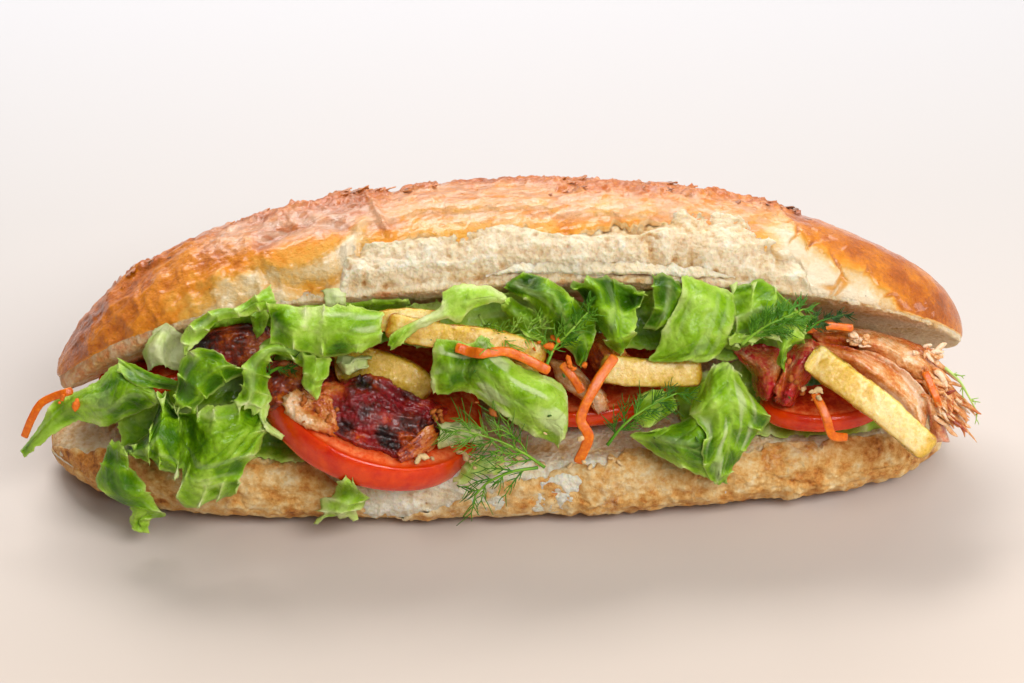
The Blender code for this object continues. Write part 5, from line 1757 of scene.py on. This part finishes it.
def makeTomato(name, material):
    # a round slice: one closed profile, from the middle of the upper cut face over the bulging
    # skin to the middle of the lower one, turned round and leant back
    spec = tomatoSpec[name]
    seed = seedOf(name)
    countA, countR = 220, 74
    angle = np.linspace(0.0, 2.0 * math.pi, countA, endpoint=False)[:, None]
    t = np.linspace(0.0, 1.0, countR)[None, :]
    # shares of the profile taken by each cut face and by the skin
    faceShare, skinShare = 0.36, 0.28
    radius = np.clip(np.minimum(t, 1.0 - t) / faceShare, 0.0, 1.0)
    swing = np.clip((t - faceShare) / skinShare, 0.0, 1.0) * math.pi - 0.5 * math.pi
    height = -np.sin(swing) * 0.5 * spec["thick"]
    bulge = 1.9 * np.cos(swing) * (t > faceShare) * (t < 1 - faceShare)
    x = np.cos(angle) * (spec["half"][0] * radius + bulge)
    y = np.sin(angle) * (spec["half"][1] * radius + bulge)
    p = np.stack([x, y, height + 0 * x + 5.7 * seed], -1)
    onFace = smooth(1.0, 0.93, radius)
    height = height + 0.5 * layered(p, 14.0, seed, 3) \
        + onFace * 0.35 * np.sign(height) * layered(p * (1.0, 1.0, 0.2), 3.4, seed + 1, 3)
    height = height - 0.35 * np.sign(height) * smooth(0.9, 1.0, radius) * (np.abs(swing) > 1.5)
    wobble = 1.0 + 0.012 * noise(p, 22.0, seed + 2)
    x, y = x * wobble, y * wobble
    lean = math.radians(spec["lean"])
    up = y * math.sin(lean) + height * math.cos(lean)
    out = -y * math.cos(lean) + height * math.sin(lean)
    c, s = math.cos(math.radians(spec["turn"])), math.sin(math.radians(spec["turn"]))
    points = np.stack([x * c - up * s, x * s + up * c, out], -1)
    points = settleOnNode(points, name) + np.array(spec["shift"])
    raiseGround(points)
    skin = (np.abs(t - 0.5) < 0.5 * skinShare + 0.006) + 0.0 * x
    values = {"skin": skin.T, "ring": (radius + 0.0 * x).T}
    return makePiece(name, faceToWorld(points).transpose(1, 0, 2),
                     gridFaces(countR, countA, around=True), material, values, [name])


def tomatoFinish():
    # glossy orange-red skin; wet flesh with pale threads
    f = Finish("tomato")
    skin = f.ramp(f.grain(6.0, 4.0, 0.6), [(0.3, (200, 34, 0)), (0.7, (230, 74, 2))])
    flesh = f.ramp(f.sum(f.grain(2.2, 5.0, 0.65), f.spread(f.kept("ring"), 0.5, 1.0, -0.1, 0.2)),
                   [(0.3, (190, 24, 8)), (0.55, (226, 78, 28)), (0.8, (240, 128, 74))])
    height = f.sum(f.grain(1.1, 4.0, 0.6), f.times(f.grain(5.0, 2.0), 1.5))
    return f.wear(Base_Color=f.blend(f.kept("skin"), flesh, skin),
                  Roughness=f.spread(f.kept("skin"), 0.0, 1.0, 0.26, 0.2),
                  Specular_IOR_Level=0.35, Coat_Weight=0.2, Coat_Roughness=0.06,
                  Normal=f.bump(height, 0.16), Subsurface_Weight=0.4,
                  Subsurface_Radius=(1.0, 0.25, 0.06), Subsurface_Scale=0.005)


def curve(points, count):
    # a smooth line through a few points
    return splineWeights(len(points), count) @ np.array(points, dtype=float)


def routePath(route, cell):
    # a smooth line along a route, with places about one cell apart
    length = np.linalg.norm(np.diff(np.array(route, float), axis=0), axis=1).sum()
    return curve(route, int(length / cell))


def tubeAlong(path, halfSide, halfOut, square, around, seed, rough):
    # a rounded square section carried along a path in the mouth; its ends round off
    t = np.linspace(0.0, 1.0, len(path))
    angle = np.linspace(0.0, 2.0 * math.pi, around, endpoint=False)[None, :]
    run = unit(np.gradient(path, axis=0))
    side = unit(np.cross(np.array([0.0, 0.0, 1.0]), run))
    lift = np.cross(run, side)
    c, s = signedPower(np.cos(angle), square), signedPower(np.sin(angle), square)
    length = runLength(path, 0)[-1]
    way = t * length
    near = np.minimum(way, length - way)
    end = np.sqrt(1.0 - (1.0 - np.clip(near / (0.55 * halfSide), 0.0, 1.0)) ** 2)
    end = (0.04 + 0.96 * end)[:, None]
    p = np.stack([way[:, None] + 0 * c, halfSide * c + 0 * end, halfOut * s + 7.7 * seed + 0 * end], -1)
    grow = end * (1.0 + rough * layered(p, 3.0 * halfSide, seed, 3))
    points = (path[:, None, :] + side[:, None, :] * (halfSide * c * grow)[..., None]
              + lift[:, None, :] * (halfOut * s * grow)[..., None])
    return points, p, near[:, None] + 0 * c


def capTube(points):
    # adds a middle point at either end and closes the ends with thin four-sided faces
    rings, around = points.shape[:2]
    faces = gridFaces(rings, around, around=True)
    j = np.arange(0, around, 2)
    first = np.stack([(j + 2) % around, (j + 1) % around, j, 0 * j + rings * around], 1)
    base = (rings - 1) * around
    last = np.stack([base + j, base + (j + 1) % around, base + (j + 2) % around,
                     0 * j + rings * around + 1], 1)
    everyPoint = np.concatenate([points.reshape(-1, 3), points[:1].mean(1), points[-1:].mean(1)])
    return everyPoint, np.concatenate([faces[:, ::-1], first[:, ::-1], last[:, ::-1]])


chipSpec = {
    # route (along, up, out), half width, how brown: 0 pale to 1
    "chip_back": {"route": [(-44, 46, 36), (-34, 47, 38), (-23, 46, 38)], "half": 3.2, "brown": 0.40},
    "chip_sliver": {"route": [(-14, 36, 42), (-3, 33, 43), (8, 30, 43)], "half": 2.6, "brown": 0.42},
    "chip_curved": {"route": [(-55, 32, 40), (-45, 33, 44), (-34, 29, 46), (-27, 23, 45)],
                    "half": 4.6, "brown": 0.46},
    "chip_long": {"route": [(-39, 45, 44), (-23, 41, 49), (-8, 39, 50), (8, 34, 47)],
                  "half": 3.8, "brown": 0.40},
    "chip_middle": {"route": [(25, 29, 50), (40, 27, 51), (56, 27, 50)], "half": 4.3, "brown": 0.32},
    "chip_right": {"route": [(88, 31, 46), (99, 22, 52), (109, 14, 54), (123, 1, 52)],
                   "half": 4.5, "brown": 0.22},
}


def makeChip(name, material):
    # a rounded square stick with a blistered skin, browner along its corners and at its ends
    spec = chipSpec[name]
    seed, half = seedOf(name), spec["half"]
    path = routePath(spec["route"], meshCells["chip"])
    points, p, toEnd = tubeAlong(path, half, half * 0.95, 0.42, 72, seed, 0.07)
    centre = path[:, None, :]
    near, _ = cellDistances(p * (0.6, 1.0, 1.0), 2.4, seed + 4)
    skin = 0.55 * layered(p, 8.0, seed + 1, 3) + 0.16 * noise(p, 1.1, seed + 2) \
        + 0.22 * smooth(0.6, 0.1, near) - 0.12 * smooth(0.25, 0.9, creased(p, 9.0, seed + 5, 2))
    points = settleOnNode(points + unit(points - centre) * skin[..., None], name)
    share = np.clip((points[..., 2] - centre[..., 2]) / half, -1.0, 1.0)
    lift = shortfall(points, 0.3) + (0.5 + 0.5 * share) * 0.8 * half
    points[..., 2] += softened(np.clip(lift, 0.0, 5.0), 2)
    raiseGround(points)
    corner = np.abs(p[..., 1] / half) ** 4
    brown = spec["brown"] + 0.24 * layered(p, 12.0, seed + 3, 2) + 0.40 * smooth(4.5, 0.5, toEnd)
    # painted light: paler on the side that faces out of the mouth, towards the lamps
    brown = brown + 0.34 * smooth(0.45, 1.0, corner) - 0.16 * smooth(0.2, 0.8, share)
    brown = brown + 0.16 * smooth(0.3, 0.6, noise(p, 3.4, seed + 6))
    everyPoint, faces = capTube(points)
    values = {"brown": np.concatenate([np.clip(brown, 0, 1).ravel(), [0.6, 0.6]])}
    return makePiece(name, faceToWorld(everyPoint), faces, material, values, [name])


def chipFinish():
    # fried potato: clear yellow inside a blistered golden skin
    f = Finish("chip")
    brown = f.sum(f.kept("brown"), f.mottle(2.2, 5.0, 0.62, 0.16), f.mottle(0.6, 3.0, 0.6, 0.07))
    shade = f.ramp(brown, [(0.0, (246, 218, 150)), (0.22, (232, 190, 92)), (0.42, (204, 164, 44)),
                           (0.6, (180, 128, 18)), (0.8, (172, 98, 10)), (1.0, (116, 56, 6))])
    height = f.sum(f.grain(0.9, 5.0, 0.62), f.times(f.cells(1.2, "F1"), 0.5))
    return f.wear(Base_Color=shade, Roughness=f.spread(f.grain(2.0, 3.0), 0.35, 0.65, 0.22, 0.44),
                  Specular_IOR_Level=0.5, Coat_Weight=0.3, Coat_Roughness=0.2,
                  Normal=f.bump(height, 0.3), Subsurface_Weight=0.6,
                  Subsurface_Radius=(1.0, 0.75, 0.12), Subsurface_Scale=0.006)


carrotSpec = {
    # route (along, up, out), half width and half depth of the shaving
    "carrot_curl": {"route": [(-19, 37, 56), (-12, 35, 58), (-3, 35, 58), (9, 29, 57)], "half": 1.5},
    "carrot_short": {"route": [(13, 31, 58), (16, 27, 59), (19, 22, 58)], "half": 1.4},
    "carrot_long": {"route": [(29, 33, 58), (23, 25, 61), (18, 15, 61), (20, 9, 60), (17, 1, 55)],
                    "half": 1.6},
    "carrot_hook": {"route": [(89, 20, 56), (92, 13, 58), (94, 7, 57), (99, 6, 54)], "half": 1.3},
    "carrot_back": {"route": [(87, 39, 40), (94, 40, 42), (102, 39, 41)], "half": 1.2},
    "carrot_left": {"route": [(-134, 26, 36), (-143, 23, 35), (-147, 18, 33), (-150, 12, 29)],
                    "half": 1.2},
    "carrot_right": {"route": [(123, 25, 46), (125, 20, 48), (127, 14, 47)], "half": 1.1},
}


def makeCarrot(name, material):
    # a flattened shaving that bends over what lies under it
    half = carrotSpec[name]["half"]
    path = routePath(carrotSpec[name]["route"], meshCells["carrot"])
    points, _, _ = tubeAlong(path, half, 0.55 * half, 0.55, 24, seedOf(name), 0.16)
    points = settleOnNode(points, name)
    points[..., 2] += evened(np.clip(shortfall(points, 0.2).max(1), 0.0, 4.0))[:, None]
    raiseGround(points)
    everyPoint, faces = capTube(points)
    return makePiece(name, faceToWorld(everyPoint), faces, material, {}, [name])


def carrotFinish():
    # wet orange with pale lengthwise threads
    f = Finish("carrot")
    shade = f.ramp(f.grain(1.6, 5.0, 0.62), [(0.3, (204, 84, 0)), (0.55, (226, 112, 2)),
                                             (0.75, (240, 150, 34))])
    return f.wear(Base_Color=shade, Roughness=0.35, Specular_IOR_Level=0.35, Coat_Weight=0.2,
                  Coat_Roughness=0.15, Normal=f.bump(f.grain(0.6, 4.0), 0.15),
                  Subsurface_Weight=0.3, Subsurface_Radius=(1.0, 0.5, 0.05), Subsurface_Scale=0.002)


leafPaths = {
    # leaves that show only through gaps: places (along, up, out, half width), how far they bow out
    "bed_leaf_left": ([(-122, 17, 20, 8), (-96, 20, 24, 13), (-66, 18, 26, 13), (-34, 14, 28, 8)], 0.2),
    "bed_leaf_right": ([(50, 17, 22, 8), (76, 20, 24, 12), (104, 20, 24, 12), (126, 19, 22, 6)], 0.2),
    "back_leaf_left": ([(-100, 38, 24, 5), (-84, 41, 27, 8), (-60, 42, 28, 8), (-30, 45, 27, 5)], 0.0),
    "back_leaf_middle": ([(-34, 44, 27, 6), (-12, 45, 28, 8), (8, 46, 28, 8), (22, 45, 27, 5)], 0.0),
    "back_leaf_right": ([(24, 43, 26, 6), (44, 43, 28, 9), (72, 39, 28, 10), (98, 32, 26, 5)], 0.0),
}

# what lies under what: each piece is laid clear of the ones before it
layingOrder = [
    (makeLeaf, "bed_leaf_left bed_leaf_right"),
    (makeTomato, "tomato_slice_front tomato_slice_middle tomato_slice_right tomato_slice_left"),
    (makeLeaf, "back_leaf_left back_leaf_middle back_leaf_right"),
    (makeMeat, "chicken_left_back chicken_left chicken_pale_slab chicken_right_slab"),
    (makeMeat, "chicken_right_shred ham_strip"),
    (makeStrands, "chicken_right_end"),
    (makeLeaf, "folded_heart_leaf"),
    (makeChip, "chip_back chip_sliver chip_curved"),
    (makeMeat, "chicken_charred chicken_strip chicken_middle chicken_crisp chicken_wing_left"),
    (makeMeat, "chicken_wing_right pale_edge"),
    (makeChip, "chip_long chip_middle chip_right"),
    (makeLeaf, "pale_frill yellow_frill sprig_leaf shaded_flap corner_leaf corner_leaf_roll"),
    (makeLeaf, "shade_leaf dill_leaf green_flap broad_ruffle hanging_lobe side_ribbon"),
    (makeLeaf, "climbing_band hanging_tip pale_scrap pale_ribbon broad_leaf striped_leaf"),
    (makeLeaf, "hanging_point"),
    (makeCarrot, "carrot_curl"),
    (makeLeaf, "long_ribbon rolled_leaf ribbon_tail heart_ruffle square_leaf tongue_leaf"),
    (makeLeaf, "tongue_frill curl_leaf wing_leaf crown_leaf low_frill"),
    (makeCarrot, "carrot_short carrot_long carrot_hook carrot_back carrot_left carrot_right"),
    (makeStrands, "right_shreds tip_shreds"),
]

# small pieces that the part itself doesn't have
extraPieces = ("ham_strip pale_edge pale_frill yellow_frill sprig_leaf shaded_flap pale_scrap "
               "hanging_point ribbon_tail tongue_frill right_shreds tip_shreds").split()


def makeFilling():
    # the filling, in the order in which it lies in the mouth
    finishes = {makeLeaf: lettuceFinish(), makeMeat: chickenFinish(), makeTomato: tomatoFinish(),
                makeChip: chipFinish(), makeCarrot: carrotFinish()}
    finishes[makeStrands] = finishes[makeMeat]
    for name, (path, bow) in leafPaths.items():
        leafNets[name] = pathNet(path, bow)
    for maker, names in layingOrder:
        for name in names.split():
            maker(name, finishes[maker])
    print("filling laid")


makeFilling()


# Toppings: sprigs of dill, curls of stalk, a sprout, and crumbs.

sprigSpec = {
    # stem (along, up, out), branches off it, their length, threads on each and their length
    "dill_front": {"stem": [(7, 0, 59), (0, 5, 61), (-8, 9, 62), (-18, 12, 61)], "branches": 11,
                   "long": 13.0, "threads": 5, "fine": 6.5, "tone": 0.60},
    "dill_low": {"stem": [(5, 0, 59), (-3, -1, 60), (-10, -4, 58), (-14, -8, 55)], "branches": 7,
                 "long": 9.0, "threads": 4, "fine": 5.5, "tone": 0.66},
    "dill_right": {"stem": [(26, 6, 58), (31, 12, 60), (38, 17, 62), (47, 21, 62)], "branches": 10,
                   "long": 8.0, "threads": 5, "fine": 4.5, "tone": 0.74},
    "dill_upper": {"stem": [(8, 30, 58), (11, 36, 61), (15, 40, 63), (21, 46, 63)], "branches": 9,
                   "long": 7.0, "threads": 5, "fine": 4.2, "tone": 0.68},
    "dill_dense": {"stem": [(67, 35, 57), (72, 39, 60), (78, 42, 61), (86, 45, 58)], "branches": 14,
                   "long": 8.5, "threads": 9, "fine": 3.8, "tone": 0.64},
    "dill_dark": {"stem": [(86, 38, 53), (91, 41, 55), (99, 43, 54)], "branches": 8,
                  "long": 4.0, "threads": 6, "fine": 2.6, "tone": 0.92},
    "dill_left": {"stem": [(-77, 29, 52), (-72, 32, 54), (-68, 32, 54), (-64, 34, 52)], "branches": 6,
                  "long": 4.5, "threads": 4, "fine": 3.0, "tone": 0.80},
    "stalk_curls": {"stem": [(-11, 46, 52), (-9, 42, 54), (-5, 40, 56), (2, 40, 55), (6, 43, 54)],
                    "branches": 9, "long": 9.0, "threads": 4, "fine": 4.5, "tone": 0.36},
    "sprout_stem": {"stem": [(130, 26, 49), (134, 22, 50), (137, 17, 49), (140, 12, 46)],
                    "branches": 4, "long": 3.5, "threads": 2, "fine": 1.8, "tone": 0.30},
}

sprigLooks = [
    # of stem, branches and threads: radius, its shares at both ends, sides, how much darker
    (0.48, (1.15, 0.5), 6, -0.22),
    (0.28, (1.1, 0.6), 4, -0.05),
    (0.20, (1.0, 0.5), 4, 0.05),
]


def sideLines(base, ahead, length, side, spread, places, rng):
    # lines that leave their bases slanting to one side and bend back towards the way ahead
    count = len(base)
    upright = np.array([0.0, 0.0, 1.0])
    aside = unit(np.cross(upright, ahead))
    slant = (spread * rng.uniform(0.7, 1.3, count) * side)[:, None]
    way = ahead * np.cos(slant) + aside * np.sin(slant)
    way = unit(way + upright * rng.normal(0.12, 0.28, count)[:, None])
    t = np.linspace(0.0, 1.0, places)[None, :, None]
    bend = (ahead - way) * rng.uniform(0.1, 0.8, count)[:, None]
    bend = bend + rng.normal(0.0, 0.22, (count, 3))
    return base[:, None, :] + length[:, None, None] * (way[:, None, :] * t
                                                      + bend[:, None, :] * 0.5 * t ** 2)


def makeSprig(name, material):
    # a stem, branches to both sides of it, and threads to both sides of each branch
    spec = sprigSpec[name]
    rng = np.random.default_rng(seedOf(name))
    stem = curve(spec["stem"], 30)
    stem[:, 2] += evened(np.clip(shortfall(stem, 0.8), 0.0, 6.0))
    ahead = unit(np.gradient(stem, axis=0))
    number = spec["branches"]
    at = np.linspace(5, 29, number).astype(int)
    side = np.where(np.arange(number) % 2 == 0, 1.0, -1.0)
    long = spec["long"] * np.linspace(1.0, 0.55, number) * rng.uniform(0.7, 1.15, number)
    branches = sideLines(stem[at], ahead[at], long, side, 0.75, 9, rng)
    lift = np.clip(shortfall(branches, 0.5), 0.0, 5.0).max(1)
    branches[..., 2] += lift[:, None] * np.linspace(0.2, 1.0, 9)
    spots = np.linspace(1.5, 8.0, spec["threads"]).astype(int)
    base = np.repeat(branches[:, spots].reshape(-1, 3), 2, axis=0)
    along = unit(np.gradient(branches, axis=1)[:, spots].reshape(-1, 3))
    sides = np.tile([1.0, -1.0], len(along))
    fine = spec["fine"] * rng.uniform(0.45, 1.15, len(base))
    threads = sideLines(base, np.repeat(along, 2, axis=0), fine, sides, 0.6, 5, rng)
    points, faces, tones, before = [], [], [], 0
    for lines, (radius, tip, around, paler) in zip((stem[None], branches, threads), sprigLooks):
        thin = radius * np.linspace(*tip, lines.shape[1]) + 0 * lines[..., 0]
        spot, corner = threadMesh(lines, thin, around)
        points.append(spot.reshape(-1, 3))
        faces.append(corner + before)
        before += points[-1].shape[0]
        tones.append(spec["tone"] + paler + 0.25 * noise(points[-1], 6.0, 31))
    return makePiece(name, faceToWorld(np.concatenate(points)), np.concatenate(faces), material,
                     {"tone": np.clip(np.concatenate(tones), 0.0, 1.0)})


def dillFinish():
    # fresh feathery green, paler along the stalks
    f = Finish("dill")
    shade = f.ramp(f.kept("tone"), [(0.0, (190, 214, 118)), (0.35, (140, 184, 52)),
                                    (0.65, (74, 130, 14)), (1.0, (30, 66, 4))])
    return f.wear(Base_Color=shade, Roughness=0.45, Specular_IOR_Level=0.35)


crumbSpec = {
    # middle (along, up, out), how far they scatter, how many, size, colour
    "roast_crumbs": {"heaps": [((-19, 18, 58), (4.5, 1.8), 26), ((-60, 18, 56), (4.0, 4.0), 8),
                               ((84, 22, 58), (5.0, 4.0), 7)],
                     "size": 0.6, "shade": (178, 96, 30)},
    "bread_crumbs": {"heaps": [((89, 20, 60), (0.9, 0.8), 8), ((-14, 4, 50), (10.0, 3.0), 14),
                               ((20, 2, 48), (12.0, 3.0), 10)],
                     "size": 0.7, "shade": (226, 190, 136)},
    "carrot_crumbs": {"heaps": [((10, 36, 60), (3.4, 1.6), 6), ((16, 30, 60), (1.6, 3.0), 6),
                                ((-138, 24, 38), (3.0, 2.0), 3)],
                      "size": 0.9, "shade": (240, 116, 18)},
    "herb_crumbs": {"heaps": [((-8, 22, 56), (14.0, 7.0), 5), ((60, 14, 50), (18.0, 5.0), 5)],
                    "size": 0.3, "shade": (66, 110, 14)},
}


def makeCrumbs(name):
    # small lumps: short lines with a radius of size times the root of 1 - (2t - 1) squared
    spec = crumbSpec[name]
    rng = np.random.default_rng(seedOf(name))
    middle = np.concatenate([np.array(at, float) + rng.normal(size=(count, 3)) * (*spread, 0.0)
                             for at, spread, count in spec["heaps"]])
    # a crumb comes to lie on what is under it, unless it would drop deep into the mouth
    drop = shortfall(middle, 0.0)
    middle[:, 2] += drop + 0.3 * spec["size"]
    middle = middle[drop >= -12.0]
    count = len(middle)
    way = unit(rng.normal(size=(count, 3)) * (1.0, 1.0, 0.4))
    size = spec["size"] * rng.uniform(0.45, 1.5, (count, 1))
    t = np.linspace(0.0, 1.0, 6)[None, :]
    reach = size * rng.uniform(1.0, 2.2, (count, 1))
    lines = middle[:, None, :] + way[:, None, :] * ((2.0 * t - 1.0) * reach)[..., None]
    radius = size * np.sqrt(np.clip(1.0 - (1.9 * t - 0.95) ** 2, 0.05, 1.0))
    points, faces = threadMesh(lines, radius * rng.uniform(0.8, 1.2, (count, 6)), 6, 0.8)
    points = points + 0.3 * size[:, :, None, None] * sway(points, 0.8, 1, 2, 3)
    f = Finish(name)
    shades = [(at, tuple(min(255, part * c) for c in spec["shade"]))
              for at, part in ((0.3, 0.82), (0.7, 1.08))]
    material = f.wear(Base_Color=f.ramp(f.grain(1.2, 4.0, 0.6), shades), Roughness=0.6,
                      Specular_IOR_Level=0.35, Normal=f.bump(f.grain(0.5, 4.0), 0.15))
    return makePiece(name, faceToWorld(points), faces, material, {})


def makeToppings():
    # dill and crumbs come last, on top of the filling
    dill = dillFinish()
    for name in sprigSpec:
        makeSprig(name, dill)
    for name in crumbSpec:
        makeCrumbs(name)
    print("toppings made")


makeToppings()


stageSpec = {
    # screen colours of the floor from near to far, then where the camera stands
    "nearFloor": (212, 190, 170), "floor": (197, 191, 187), "farFloor": (201, 199, 201),
    "azimuth": -3.0,             # degrees
    "elevation": 35.0,
    "distance": 1.10,            # metres
    "lens": 124.7,
    "target": (0.0, 0.0054, 0.0425),
    "skyStrength": 0.17,
    # lamps: place, what they are aimed at, size, power
    "back_light": ((-0.18, 0.55, 0.95), (0.0, 0.0, 0.05), (0.7, 0.35), 8.5),
    "low_back_light": ((0.0, 1.15, 0.74), (0.0, 0.0, 0.06), (1.6, 0.45), 10.0),
    "front_light": ((0.35, -0.8, 0.95), (0.0, 0.0, 0.04), (0.8, 0.5), 13.0),
    "right_light": ((1.0, -0.25, 0.42), (0.1, 0.0, 0.05), (0.5, 0.4), 3.6),
}


def makeFloor():
    # a flat square, three metres across
    mesh = bpy.data.meshes.new("floor")
    mesh.from_pydata([(-3, -3, 0), (3, -3, 0), (3, 3, 0), (-3, 3, 0)], [], [(0, 1, 2, 3)])
    floor = bpy.data.objects.new("floor", mesh)
    bpy.context.scene.collection.objects.link(floor)
    f = Finish("floor")
    place = f.add("ShaderNodeSeparateXYZ")
    f.put(f.place, place.inputs[0])
    shade = f.ramp(f.spread(place.outputs["Y"], -0.35, 0.9),
                   [(0.0, stageSpec["nearFloor"]), (0.40, stageSpec["floor"]),
                    (0.55, stageSpec["farFloor"])])
    away = f.add("ShaderNodeVectorMath", operation="LENGTH")
    f.put(f.place, away.inputs[0])
    # a faint glow far out keeps the floor pale where no lamp reaches
    glow = f.spread(away.outputs["Value"], 0.5, 2.2, 0.0, 0.62)
    mesh.materials.append(f.wear(Base_Color=shade, Roughness=0.8, Specular_IOR_Level=0.1,
                                 Emission_Color=colour(246, 244, 243), Emission_Strength=glow))


def addLight(name, place, aim, size, power):
    # a rectangular lamp that looks from its place at what it is aimed at
    lamp = bpy.data.lights.new(name, "AREA")
    lamp.shape = "RECTANGLE"
    lamp.size, lamp.size_y = size
    lamp.energy = power
    holder = bpy.data.objects.new(name, lamp)
    holder.location = place
    way = np.array(aim) - np.array(place)
    holder.rotation_euler = Vector(way).to_track_quat("-Z", "Y").to_euler()
    bpy.context.scene.collection.objects.link(holder)


def makeStage():
    # floor, world, lamps and the camera, which looks from the azimuth and the elevation
    makeFloor()
    world = bpy.data.worlds.new("studio")
    bpy.context.scene.world = world
    world.use_nodes = True
    background = world.node_tree.nodes["Background"]
    background.inputs["Color"].default_value = (1.0, 1.0, 1.0, 1.0)
    spec = stageSpec
    background.inputs["Strength"].default_value = spec["skyStrength"]
    for name in ("back_light", "low_back_light", "front_light", "right_light"):
        addLight(name, *spec[name])
    az, el = math.radians(spec["azimuth"]), math.radians(spec["elevation"])
    way = np.array([-math.sin(az) * math.cos(el), math.cos(az) * math.cos(el), -math.sin(el)])
    lens = bpy.data.cameras.new("camera")
    lens.lens = spec["lens"]
    lens.sensor_width = 36.0
    lens.clip_end = 20.0
    camera = bpy.data.objects.new("camera", lens)
    camera.location = np.array(spec["target"]) - way * spec["distance"]
    camera.rotation_euler = (math.radians(90.0) - el, 0.0, az)
    bpy.context.scene.collection.objects.link(camera)
    bpy.context.scene.camera = camera
    bpy.context.scene.view_settings.view_transform = "Standard"
    print("stage made")


makeStage()
